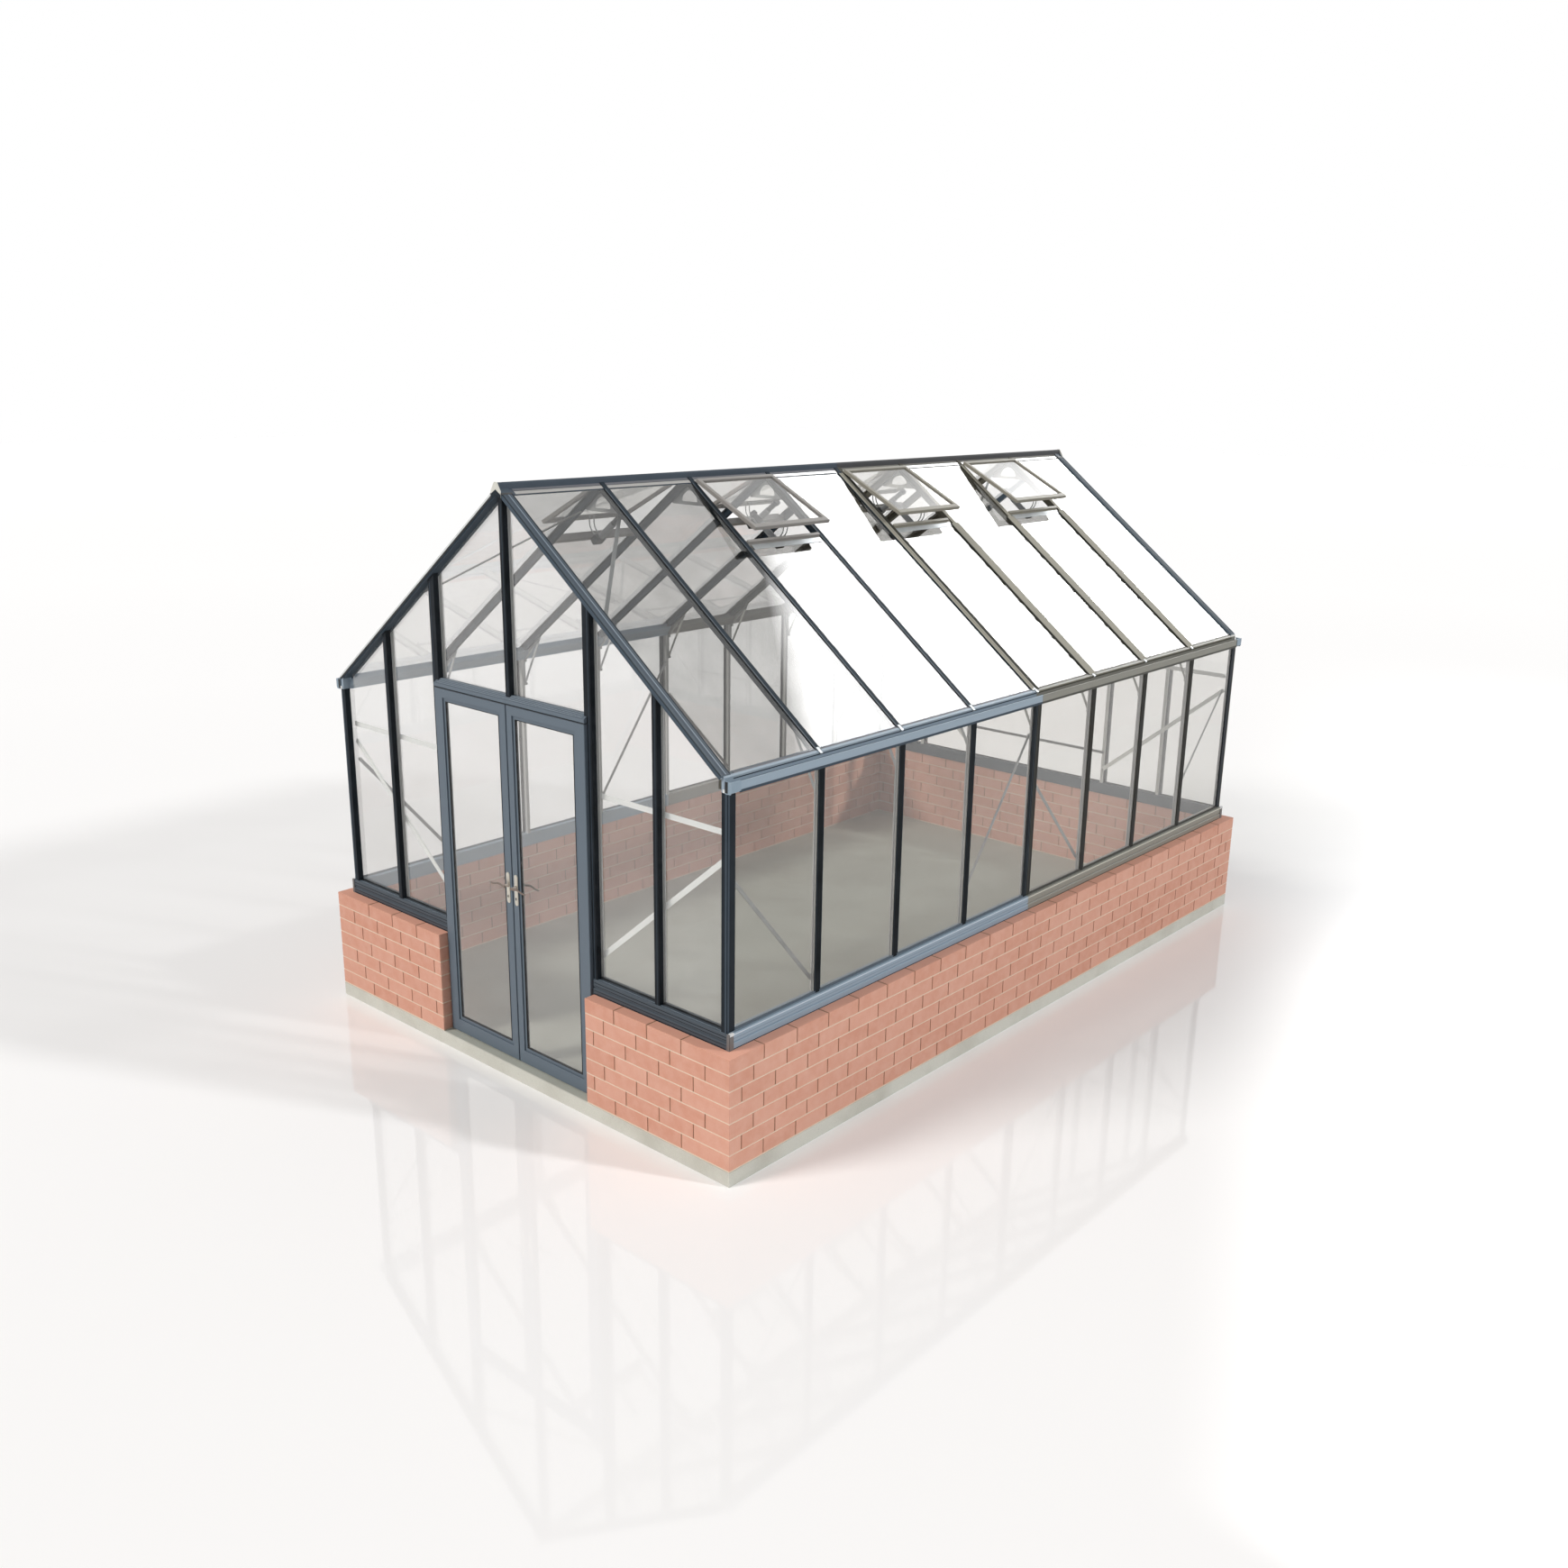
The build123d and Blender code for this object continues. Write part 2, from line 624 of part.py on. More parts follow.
# Glass of the roof; under a vent it starts below the cill
def roof_pane(index, vent_bays):
    start = CILL_END if index in vent_bays else ROOF_GLASS_START
    low, high = bay_glass_limits(index)
    outline = [(low, -CAP), (high, -CAP), (high, -CAP - GLASS), (low, -CAP - GLASS)]
    return on_slope(outline, 0, start, ROOF_GLASS_END)


save("glass_roof_right", [roof_pane(i, RIGHT_VENT_BAYS) for i in range(BAY_COUNT)])
save("glass_roof_left", [left_of(roof_pane(i, LEFT_VENT_BAYS)) for i in range(BAY_COUNT)])


# Roof vents: tilted frame and pane, fixed a little open
def vent_plane(index):
    """Plane of a vent's underside: X down the flap, Y along the ridge."""
    down = Vector(cos(PITCH), 0, -sin(PITCH))
    out = Vector(sin(PITCH), 0, cos(PITCH))
    hinge = Vector(0, 0, RIDGE) + down * VENT_HINGE + out * VENT_LIFT
    fall = radians(VENT_FALL)
    low, high = bay_ys[index]
    hinge = hinge + Vector(0, (low + high) / 2, 0)
    return Plane(origin=hinge, x_dir=(cos(fall), 0, -sin(fall)), z_dir=(sin(fall), 0, cos(fall)))


VENT_WIDTH = BAY - 2 * VENT_CLEAR


def vent_frame(index):
    body = Pos(VENT_LENGTH / 2, 0, VENT_DEPTH / 2) * Box(VENT_LENGTH, VENT_WIDTH, VENT_DEPTH)
    hole_length = VENT_LENGTH - VENT_STILE - VENT_RAIL
    hole = Box(hole_length, VENT_WIDTH - 2 * VENT_STILE, 2 * VENT_DEPTH)
    body = body - Pos(VENT_STILE + hole_length / 2, 0, VENT_DEPTH / 2) * hole
    body = chamfer(body.edges().group_by(Axis.Z)[-1], 2.5)
    return vent_plane(index) * body


def vent_pane(index):
    hole_length = VENT_LENGTH - VENT_STILE - VENT_RAIL
    pane = Box(hole_length, VENT_WIDTH - 2 * VENT_STILE, GLASS)
    return vent_plane(index) * Pos(VENT_STILE + hole_length / 2, 0, VENT_DEPTH / 2) * pane


# Cill bar between the roof bars below each vent, with a bright flashing strip on the glass
def vent_cill(index):
    low, high = bay_ys[index]
    low += WEB / 2
    high -= WEB / 2
    under = [(low, -CAP - 1), (high, -CAP - 1), (high, -30), (low, -30)]
    bar = on_slope(under, 0, CILL_START, CILL_END)
    inset = ROOF_BAR_WIDTH / 2 + 3
    if middle_bar + 1 in (index, index + 1):
        inset = JOINT_BAR_WIDTH / 2 + 3
    upstand = [
        (low + inset, 8.0),
        (high - inset, 8.0),
        (high - inset, -CAP - 1),
        (low + inset, -CAP - 1),
    ]
    return bar + on_slope(upstand, 0, CILL_START, CILL_START + 16)


FLASHING = 34.0


def flashing(index):
    low, high = bay_ys[index]
    inset = JOINT_BAR_WIDTH / 2 + 6
    outline = [
        (low + inset, -CAP + 2.0),
        (high - inset, -CAP + 2.0),
        (high - inset, -CAP),
        (low + inset, -CAP),
    ]
    return on_slope(outline, 0, CILL_END, CILL_END + FLASHING)


# Opener under each vent: cylinder with a knob, and two arms up to the flap
OPENER_RADIUS = 15.0


def opener(index):
    low, high = bay_ys[index]
    middle = (low + high) / 2
    down = Vector(cos(PITCH), 0, -sin(PITCH))
    out = Vector(sin(PITCH), 0, cos(PITCH))
    start = Vector(0, middle, RIDGE) + down * (CILL_START - 230) + out * -50
    plane = Plane(origin=start, x_dir=(0, 1, 0), z_dir=down)
    tube = plane * (Pos(0, 0, 100) * Cylinder(OPENER_RADIUS, 200))
    knob = plane * (Pos(0, 0, -8) * Cylinder(OPENER_RADIUS + 6, 16))
    bracket_outline = [(middle - 30, -30.0), (middle + 30, -30.0), (middle + 30, -66), (middle - 30, -66)]
    bracket = on_slope(bracket_outline, 0, CILL_START - 30, CILL_START + 20)
    return tube + knob + bracket


right_vents = [(i, False) for i in RIGHT_VENT_BAYS]
left_vents = [(i, True) for i in LEFT_VENT_BAYS]


def for_vents(maker):
    """One copy of a vent piece for each vent of both slopes."""
    solids = []
    for index, is_left in right_vents + left_vents:
        solid = maker(index)
        solids.append(left_of(solid) if is_left else solid)
    return solids


save("vent_frames", for_vents(vent_frame))
save("vent_glass", for_vents(vent_pane))
save("vent_cills", for_vents(vent_cill))
save("vent_flashings", for_vents(flashing))
save("vent_openers", for_vents(opener))

# Gusset plates under the ridge, one to a pair of roof bars, with a half-round hole
PLATE = 4.0
GUSSET_HALF = 150.0
GUSSET_BASE = 2942.0
gusset_side = roof_z(GUSSET_HALF, -14.0)
gusset_outline = [
    (RIDGE_HALF_WEB + 2, roof_z(RIDGE_HALF_WEB + 2, -14.0)),
    (GUSSET_HALF, gusset_side),
    (GUSSET_HALF, gusset_side - 8),
    (GUSSET_HALF - 26, GUSSET_BASE - 30),
    (-GUSSET_HALF + 26, GUSSET_BASE - 30),
    (-GUSSET_HALF, gusset_side - 8),
    (-GUSSET_HALF, gusset_side),
    (-RIDGE_HALF_WEB - 2, roof_z(RIDGE_HALF_WEB + 2, -14.0)),
    (-RIDGE_HALF_WEB - 2, RIDGE_WEB_BASE - 2),
    (RIDGE_HALF_WEB + 2, RIDGE_WEB_BASE - 2),
]
HALF_MOON = 58.0


def gusset(y):
    near = y + FLANGE / 2
    plate = along_y(gusset_outline, near, near + PLATE)
    round_hole = Plane.XZ.offset(-near - PLATE - 1) * Pos(0, GUSSET_BASE - 12) * Circle(HALF_MOON)
    hole = extrude(round_hole, amount=PLATE + 2, dir=(0, -1, 0))
    hole = hole - block((-BAY, BAY), (-LENGTH, LENGTH), (0, GUSSET_BASE - 12))
    return plate - hole


save("ridge_gussets", [gusset(y) for y in bar_ys])

# Eaves knees: open triangle plates between the wall bars and roof bars
KNEE_DROP = 150.0
KNEE_REACH = 130.0
knee_x = HALF_WIDTH - BAR_DEPTH + FLANGE_THICKNESS
knee_top_x = LEDGE_IN - 4
knee_end = knee_top_x - KNEE_REACH
knee_outline = [
    (knee_x, GUTTER_BASE - 2),
    (knee_x, GUTTER_BASE - KNEE_DROP - 16),
    (knee_x - 10, GUTTER_BASE - KNEE_DROP - 16),
    (knee_end, roof_z(knee_end, -ROOF_BAR_DEPTH + 6)),
    (knee_end + 12, roof_z(knee_end + 12, -ROOF_BAR_DEPTH + 6)),
    (knee_top_x, roof_z(knee_top_x, -ROOF_BAR_DEPTH + 6)),
    (knee_top_x, roof_z(LEDGE_IN, -ROOF_BAR_DEPTH) - 16),
    (HALF_WIDTH - 54, GUTTER_BASE + 8),
    (HALF_WIDTH - 54, GUTTER_BASE - 2),
]
knee_hole = [
    (knee_x - 12, GUTTER_BASE - 18),
    (knee_x - 12, GUTTER_BASE - KNEE_DROP + 20),
    (knee_end + 44, roof_z(knee_end + 44, -ROOF_BAR_DEPTH) - 14),
    (knee_top_x - 6, roof_z(LEDGE_IN, -ROOF_BAR_DEPTH) - 30),
]


def knee(y):
    near = y + FLANGE / 2
    plate = along_y(knee_outline, near, near + PLATE)
    return plate - along_y(knee_hole, near - 1, near + PLATE + 1)


knees_right = [knee(y) for y in bar_ys]
save("eaves_knees", knees_right + [left_of(plate) for plate in knees_right])

# Flat bracing straps inside the glass
STRAP_WIDTH = 20.0
STRAP = 3.0


def strap_outline(start, end, width=STRAP_WIDTH):
    """Outline of a flat strap between two points of a plane."""
    along = (end[0] - start[0], end[1] - start[1])
    length = hypot(*along)
    side = (-along[1] / length * width / 2, along[0] / length * width / 2)
    return [
        (start[0] + side[0], start[1] + side[1]),
        (end[0] + side[0], end[1] + side[1]),
        (end[0] - side[0], end[1] - side[1]),
        (start[0] - side[0], start[1] - side[1]),
    ]


strap_x = HALF_WIDTH - BAR_DEPTH
wall_braces = [
    ((-2434.0, 1455.0), (-1868.0, 793.0)),
    ((-14.0, 1680.0), (-612.0, 850.0)),
    ((14.0, 1450.0), (612.0, 806.0)),
    ((2434.0, 1560.0), (1868.0, 935.0)),
]
straps = [along_x(strap_outline(*ends), strap_x - STRAP, strap_x) for ends in wall_braces]

# Gable straps: a level tie and a diagonal either side of the doorway
GABLE_TIE = 1660.0
corner_x = HALF_WIDTH - 30
gable_braces = [
    ((DOOR_POST - 4, GABLE_TIE), (corner_x, GABLE_TIE)),
    ((corner_x, 1561.0), (DOOR_POST, 832.0)),
]
front_straps = [along_y(strap_outline(*ends), back_y, back_y + STRAP) for ends in gable_braces]
straps += front_straps + [mirror(strap, Plane.XZ) for strap in front_straps]
LOW_TIE = 960.0
low_tie = strap_outline((4.0, LOW_TIE), (DOOR_POST + 4, LOW_TIE))
straps.append(along_y(low_tie, -back_y - STRAP, -back_y))

# Roof straps across the first and last bay of the slope, under the bars
brace_run = (RAFTER_FACE - RAFTER_INNER_FACE - 3, -bar_ys[0] + 6)
ROOF_BRACE = (885.0, 216.0)
slope_plane = Plane(
    origin=Vector(0, 0, RIDGE) - Vector(sin(PITCH), 0, cos(PITCH)) * ROOF_BAR_DEPTH,
    x_dir=(0, 1, 0),
    z_dir=(-sin(PITCH), 0, -cos(PITCH)),
)
for y_sign in (-1, 1):
    ends = [(y_sign * y, x) for y, x in zip(brace_run, ROOF_BRACE)]
    brace = prism(strap_outline(*ends), slope_plane, STRAP)
    cleat_y = sorted((y_sign * (RAFTER_FACE - RAFTER_INNER_FACE), y_sign * (RAFTER_FACE - RAFTER_INNER_LEG)))
    cleat = [
        (cleat_y[0], -RAFTER_DEPTH),
        (cleat_y[1], -RAFTER_DEPTH),
        (cleat_y[1], -ROOF_BAR_DEPTH),
        (cleat_y[0], -ROOF_BAR_DEPTH),
    ]
    straps.append(brace + on_slope(cleat, 0, ROOF_BRACE[0] - 14, ROOF_BRACE[0] + 14))
straps += [left_of(strap) for strap in straps]
save("bracing_straps", straps)

# Door leaves: flat frame with a recessed bead round one pane each
leaf_y = (head_y, face_y - LEAF_BACK)
leaf_body = block((LEAF_MEETING, LEAF_HINGE), leaf_y, (LEAF_BASE, LEAF_TOP))
pane_x = (LEAF_MEETING + MEETING_STILE, LEAF_HINGE - OUTER_STILE)
pane_z = (LEAF_BASE + BOTTOM_RAIL, LEAF_TOP - TOP_RAIL)
bead_x = (pane_x[0] - BEAD, pane_x[1] + BEAD)
bead_z = (pane_z[0] - BEAD, pane_z[1] + BEAD)
leaf_body = chamfer(leaf_body.edges().group_by(Axis.Y)[0], LEAF_BEVEL)
bead_recess = block(bead_x, (leaf_y[0] - 1, leaf_y[0] + BEAD_DROP), bead_z)
leaf_hole = block(pane_x, (leaf_y[0] - 1, leaf_y[1] + 1), pane_z)
leaf_frame = leaf_body - bead_recess - leaf_hole
middle_y = (leaf_y[0] + leaf_y[1]) / 2
leaf_pane = block(pane_x, (middle_y - LEAF_GLASS / 2, middle_y + LEAF_GLASS / 2), pane_z)
save("door_right_frame", [leaf_frame])
save("door_left_frame", [left_of(leaf_frame)])
save("door_right_glass", [leaf_pane])
save("door_left_glass", [left_of(leaf_pane)])

# Handles on both faces of each leaf: long plate, neck and a waved lever
HANDLE_X = LEAF_MEETING + 28.0
HANDLE_Z = 1068.0
PLATE_Z = 1053.0
PLATE_WIDTH = 28.0
PLATE_HEIGHT = 167.0
PLATE_DEPTH = 4.0
NECK_RADIUS = 9.0
NECK_LENGTH = 34.0
LEVER_DEPTH = 12.0
LEVER_HALF = 9.0
LEVER_TIP_HALF = 6.0
lever_line = [(-9.0, 0.0), (14.0, 1.0), (45.0, 5.0), (80.0, -3.0), (108.0, -5.0)]


def face_plane(depth):
    return Plane.XZ.offset(-leaf_y[0] + depth)


plate_face = face_plane(0) * Pos(HANDLE_X, PLATE_Z) * SlotOverall(
    PLATE_HEIGHT, PLATE_WIDTH, rotation=90
)
neck_face = face_plane(PLATE_DEPTH) * Pos(HANDLE_X, HANDLE_Z) * Circle(NECK_RADIUS)
lever_top = []
lever_under = []
for i, (u, v) in enumerate(lever_line):
    half = LEVER_HALF + (LEVER_TIP_HALF - LEVER_HALF) * i / (len(lever_line) - 1)
    lever_top.append((HANDLE_X + u, HANDLE_Z + v + half))
    lever_under.append((HANDLE_X + u, HANDLE_Z + v - half))
lever_edges = Spline(*lever_top) + Line(lever_top[-1], lever_under[-1])
lever_edges = lever_edges + Spline(*reversed(lever_under)) + Line(lever_under[0], lever_top[0])
lever_face = face_plane(PLATE_DEPTH + NECK_LENGTH - LEVER_DEPTH) * make_face(lever_edges)
handle = extrude(plate_face, amount=PLATE_DEPTH, dir=(0, -1, 0))
handle = handle + extrude(neck_face, amount=NECK_LENGTH, dir=(0, -1, 0))
handle = handle + extrude(lever_face, amount=LEVER_DEPTH, dir=(0, -1, 0))
inner_handle = Pos(0, leaf_y[0] + leaf_y[1], 0) * mirror(handle, Plane.XZ)
save("door_right_handle", [handle, inner_handle])
save("door_left_handle", [left_of(handle), left_of(inner_handle)])
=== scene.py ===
"""Looks of a glass greenhouse on a low brick wall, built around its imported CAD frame."""

from __future__ import annotations

import logging
import math
import random
from dataclasses import dataclass, field
from enum import Enum

import bmesh
import bpy
from mathutils import Matrix, Vector

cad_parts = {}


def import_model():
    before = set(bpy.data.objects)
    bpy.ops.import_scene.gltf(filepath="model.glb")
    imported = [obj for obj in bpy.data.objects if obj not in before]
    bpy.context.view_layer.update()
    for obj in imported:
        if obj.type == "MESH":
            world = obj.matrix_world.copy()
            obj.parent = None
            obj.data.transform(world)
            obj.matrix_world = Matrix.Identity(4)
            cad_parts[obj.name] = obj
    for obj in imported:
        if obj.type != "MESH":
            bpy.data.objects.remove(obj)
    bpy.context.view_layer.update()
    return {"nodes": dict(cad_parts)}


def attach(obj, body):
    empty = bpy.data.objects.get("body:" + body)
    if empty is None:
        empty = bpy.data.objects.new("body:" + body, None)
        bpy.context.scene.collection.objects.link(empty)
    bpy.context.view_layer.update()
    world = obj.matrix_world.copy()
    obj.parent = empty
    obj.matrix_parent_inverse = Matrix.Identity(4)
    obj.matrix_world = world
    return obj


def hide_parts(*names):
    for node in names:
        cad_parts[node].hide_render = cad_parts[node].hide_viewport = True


LOG = logging.getLogger("greenhouse")

# One millimetre in the metres of this scene
MM = 0.001

# Sizes that the looks share with the frame, in millimetres
BAY = 620.0
HALF_WIDTH = 1501.0
HALF_LENGTH = 2480.0
EAVES = 1922.0
RIDGE = 3072.0
PITCH = math.atan2(RIDGE - EAVES, HALF_WIDTH)

Point = tuple[float, float, float]
Outline = list[tuple[float, float]]


class Body(Enum):
    """The bodies of the frame that a piece can ride on."""

    HOUSE = "house"
    DOOR_LEFT = "door_left"
    DOOR_RIGHT = "door_right"


class Slot(Enum):
    """The material slots."""

    BRICK = "brick"
    FRAME_PAINT = "frame_paint"
    CAP_GREY = "cap_grey"
    BARE_ALUMINIUM = "bare_aluminium"
    PANE = "pane"
    OPENER_BLACK = "opener_black"
    HANDLE_STEEL = "handle_steel"


def linear(hex_code: str) -> tuple[float, float, float, float]:
    """Turns an sRGB hex colour into linear RGBA.

    Args:
        hex_code: six hex digits with a leading hash.

    Returns:
        The colour as linear red, green, blue and an alpha of 1.
    """
    channels = [int(hex_code[i : i + 2], 16) / 255 for i in (1, 3, 5)]
    bent = [c / 12.92 if c <= 0.04045 else ((c + 0.055) / 1.055) ** 2.4 for c in channels]
    return (bent[0], bent[1], bent[2], 1.0)


def add_node(
    tree: bpy.types.NodeTree,
    kind: str,
    settings: dict | None = None,
    links: dict | None = None,
) -> bpy.types.Node:
    """Adds one shader node with its settings and links.

    Args:
        tree: the node tree that the node goes into.
        kind: the node's Blender type name.
        settings: property or input names, or input numbers, with their values.
        links: input names or numbers, with the output sockets that feed them.

    Returns:
        The new node.
    """
    node = tree.nodes.new(kind)
    for key, value in (settings or {}).items():
        if isinstance(key, str) and hasattr(node, key):
            setattr(node, key, value)
        else:
            node.inputs[key].default_value = value
    for key, socket in (links or {}).items():
        tree.links.new(socket, node.inputs[key])
    return node


def new_material(name: str) -> tuple[bpy.types.Material, bpy.types.NodeTree]:
    """Makes an empty node material.

    Args:
        name: the material's name.

    Returns:
        The material and its cleared node tree.
    """
    material = bpy.data.materials.new(name)
    material.use_nodes = True
    material.node_tree.nodes.clear()
    return material, material.node_tree


def blend_colours(
    tree: bpy.types.NodeTree,
    factor: bpy.types.NodeSocket | float,
    first: bpy.types.NodeSocket | str,
    second: bpy.types.NodeSocket | str,
    mode: str = "MIX",
) -> bpy.types.NodeSocket:
    """Mixes two colours, each given as a socket or as a hex code.

    Args:
        tree: the node tree to work in.
        factor: the share of the second colour, as a number or a socket.
        first: the colour at factor 0.
        second: the colour at factor 1.
        mode: Blender's blend mode.

    Returns:
        The colour output.
    """
    settings: dict = {"data_type": "RGBA", "blend_type": mode}
    links: dict = {}
    for index, value in ((0, factor), (6, first), (7, second)):
        if isinstance(value, bpy.types.NodeSocket):
            links[index] = value
        else:
            settings[index] = linear(value) if isinstance(value, str) else value
    return add_node(tree, "ShaderNodeMix", settings, links).outputs[2]


def spread(
    tree: bpy.types.NodeTree,
    value: bpy.types.NodeSocket,
    source: tuple[float, float],
    target: tuple[float, float] = (0.0, 1.0),
) -> bpy.types.NodeSocket:
    """Maps a range of a value onto another range, held at its ends.

    Args:
        tree: the node tree to work in.
        value: the socket to map.
        source: the lowest and highest input.
        target: the outputs that those give.

    Returns:
        The mapped value.
    """
    settings = {1: source[0], 2: source[1], 3: target[0], 4: target[1]}
    return add_node(tree, "ShaderNodeMapRange", settings, {0: value}).outputs[0]


def noise(
    tree: bpy.types.NodeTree,
    place: bpy.types.NodeSocket,
    size_mm: float,
    detail: float = 3.0,
    roughness: float = 0.5,
) -> bpy.types.NodeSocket:
    """A cloudy pattern with a real size.

    Args:
        tree: the node tree to work in.
        place: the coordinates, in metres.
        size_mm: the distance across one cloud.
        detail: how many finer layers it has.
        roughness: how strong the finer layers are.

    Returns:
        The pattern's value, from 0 to 1.
    """
    settings = {"Scale": 1.0 / (size_mm * MM), "Detail": detail, "Roughness": roughness}
    return add_node(tree, "ShaderNodeTexNoise", settings, {"Vector": place}).outputs["Fac"]


def relief(
    tree: bpy.types.NodeTree, height: bpy.types.NodeSocket, depth_mm: float, strength: float
) -> bpy.types.NodeSocket:
    """Turns a height pattern into a bumped normal.

    Args:
        tree: the node tree to work in.
        height: the pattern, from 0 to 1.
        depth_mm: the real depth between 0 and 1.
        strength: how much of it is felt.

    Returns:
        The normal output.
    """
    settings = {"Distance": depth_mm * MM, "Strength": strength}
    return add_node(tree, "ShaderNodeBump", settings, {"Height": height}).outputs["Normal"]


def place_of(tree: bpy.types.NodeTree) -> bpy.types.NodeSocket:
    """The point's own place on the resting object, in metres."""
    return add_node(tree, "ShaderNodeTexCoord").outputs["Object"]


def close(tree: bpy.types.NodeTree, surface: bpy.types.Node) -> None:
    """Links a shader to the material's output."""
    add_node(tree, "ShaderNodeOutputMaterial", None, {"Surface": surface.outputs[0]})


@dataclass(frozen=True)
class PowderCoat:
    """Polyester powder coat, baked on extruded aluminium.

    The cured powder gives a satin face with a faint orange peel, and light catches its edges.
    """

    name: str
    front: str
    rear: str | None = None
    roughness: float = 0.42
    gloss: float = 0.3
    peel_mm: float = 3.5
    glass_glare_colour: str | None = None
    glass_axis: str = "Y"
    glass_line: float = 2462.0

    def material(self) -> bpy.types.Material:
        """Builds the coat, with its second colour on the rear half where it has one."""
        material, tree = new_material(self.name)
        place = place_of(tree)
        colour: bpy.types.NodeSocket | str = self.front
        if self.rear is not None:
            apart = add_node(tree, "ShaderNodeSeparateXYZ", None, {0: place})
            behind = add_node(
                tree, "ShaderNodeMath", {"operation": "GREATER_THAN", 1: 0.0}, {0: apart.outputs["Y"]}
            )
            colour = blend_colours(tree, behind.outputs[0], self.front, self.rear)
        if self.glass_glare_colour is not None:
            # Legs behind the glass are drawn paler, as painted glare of the glass over them, so that they don't thicken
            # the bars seen through it
            apart = add_node(tree, "ShaderNodeSeparateXYZ", None, {0: place})
            side = apart.outputs[self.glass_axis]
            depth = add_node(tree, "ShaderNodeMath", {"operation": "ABSOLUTE"}, {0: side})
            inside = add_node(
                tree,
                "ShaderNodeMath",
                {"operation": "LESS_THAN", 1: self.glass_line * MM},
                {0: depth.outputs[0]},
            )
            colour = blend_colours(tree, inside.outputs[0], colour, self.glass_glare_colour)
        clouds = noise(tree, place, 180.0, 4.0, 0.6)
        colour = blend_colours(tree, spread(tree, clouds, (0.3, 0.7), (0.0, 0.04)), colour, "#8d99a5")
        # Real orange peel is about 1 mm across, and is drawn coarser so that it shows
        peel = noise(tree, place, self.peel_mm, 2.0, 0.4)
        shine = spread(tree, clouds, (0.25, 0.75), (self.roughness - 0.05, self.roughness + 0.06))
        settings = {"IOR": 1.5, "Specular IOR Level": self.gloss}
        links = {"Base Color": colour, "Roughness": shine, "Normal": relief(tree, peel, 0.15, 0.25)}
        close(tree, add_node(tree, "ShaderNodeBsdfPrincipled", settings, links))
        return material


@dataclass(frozen=True)
class FacingBrick:
    """Smooth facing brick, extruded, wire-cut and fired.

    Its face is a light salmon that differs a little from brick to brick, with fine sand and
    pores. Faces that look up are painted lighter, as painted light against the shade under the sill.
    """

    name: str = "fired_facing_brick"
    pale: str = "#d4a08c"
    deep: str = "#cb947f"
    # Colour of the upward faces, lighter as painted light
    bed: str = "#e6ac96"
    tone_name: str = "tone"

    def material(self) -> bpy.types.Material:
        """Builds the brick from its tone, its clouds, its sand and its pores."""
        material, tree = new_material(self.name)
        place = place_of(tree)
        tone = add_node(tree, "ShaderNodeAttribute", {"attribute_name": self.tone_name})
        clouds = noise(tree, place, 60.0, 5.0, 0.6)
        colour = blend_colours(tree, tone.outputs["Fac"], self.deep, self.pale)
        colour = blend_colours(tree, spread(tree, clouds, (0.35, 0.7), (0.0, 0.4)), colour, "#dcb1a0")
        # Sand grains of about 1 mm are drawn at 4 mm so that they show
        sand = noise(tree, place, 4.0, 3.0, 0.7)
        colour = blend_colours(tree, spread(tree, sand, (0.58, 0.75), (0.0, 0.35)), colour, "#ba8170")
        up = add_node(
            tree, "ShaderNodeSeparateXYZ", None, {0: add_node(tree, "ShaderNodeNewGeometry").outputs["Normal"]}
        )
        # Faces that look up turn lighter: painted light on the tops of the bricks
        colour = blend_colours(tree, spread(tree, up.outputs["Z"], (0.75, 0.95)), colour, self.bed)
        settings = {"Roughness": 0.86, "IOR": 1.5, "Specular IOR Level": 0.25}
        links = {"Base Color": colour, "Normal": relief(tree, sand, 0.6, 0.5)}
        close(tree, add_node(tree, "ShaderNodeBsdfPrincipled", settings, links))
        return material


@dataclass(frozen=True)
class Mortar:
    """Lime and cement mortar, struck with a trowel.

    It is chalky and open, with sand that shows as fine speckles.
    """

    name: str
    face: str
    speckle: str

    def material(self) -> bpy.types.Material:
        """Builds the mortar with its sand."""
        material, tree = new_material(self.name)
        place = place_of(tree)
        sand = noise(tree, place, 3.0, 3.0, 0.7)
        colour = blend_colours(tree, spread(tree, sand, (0.45, 0.7)), self.face, self.speckle)
        settings = {"Roughness": 0.95, "IOR": 1.5, "Specular IOR Level": 0.2}
        links = {"Base Color": colour, "Normal": relief(tree, sand, 0.5, 0.6)}
        close(tree, add_node(tree, "ShaderNodeBsdfPrincipled", settings, links))
        return material


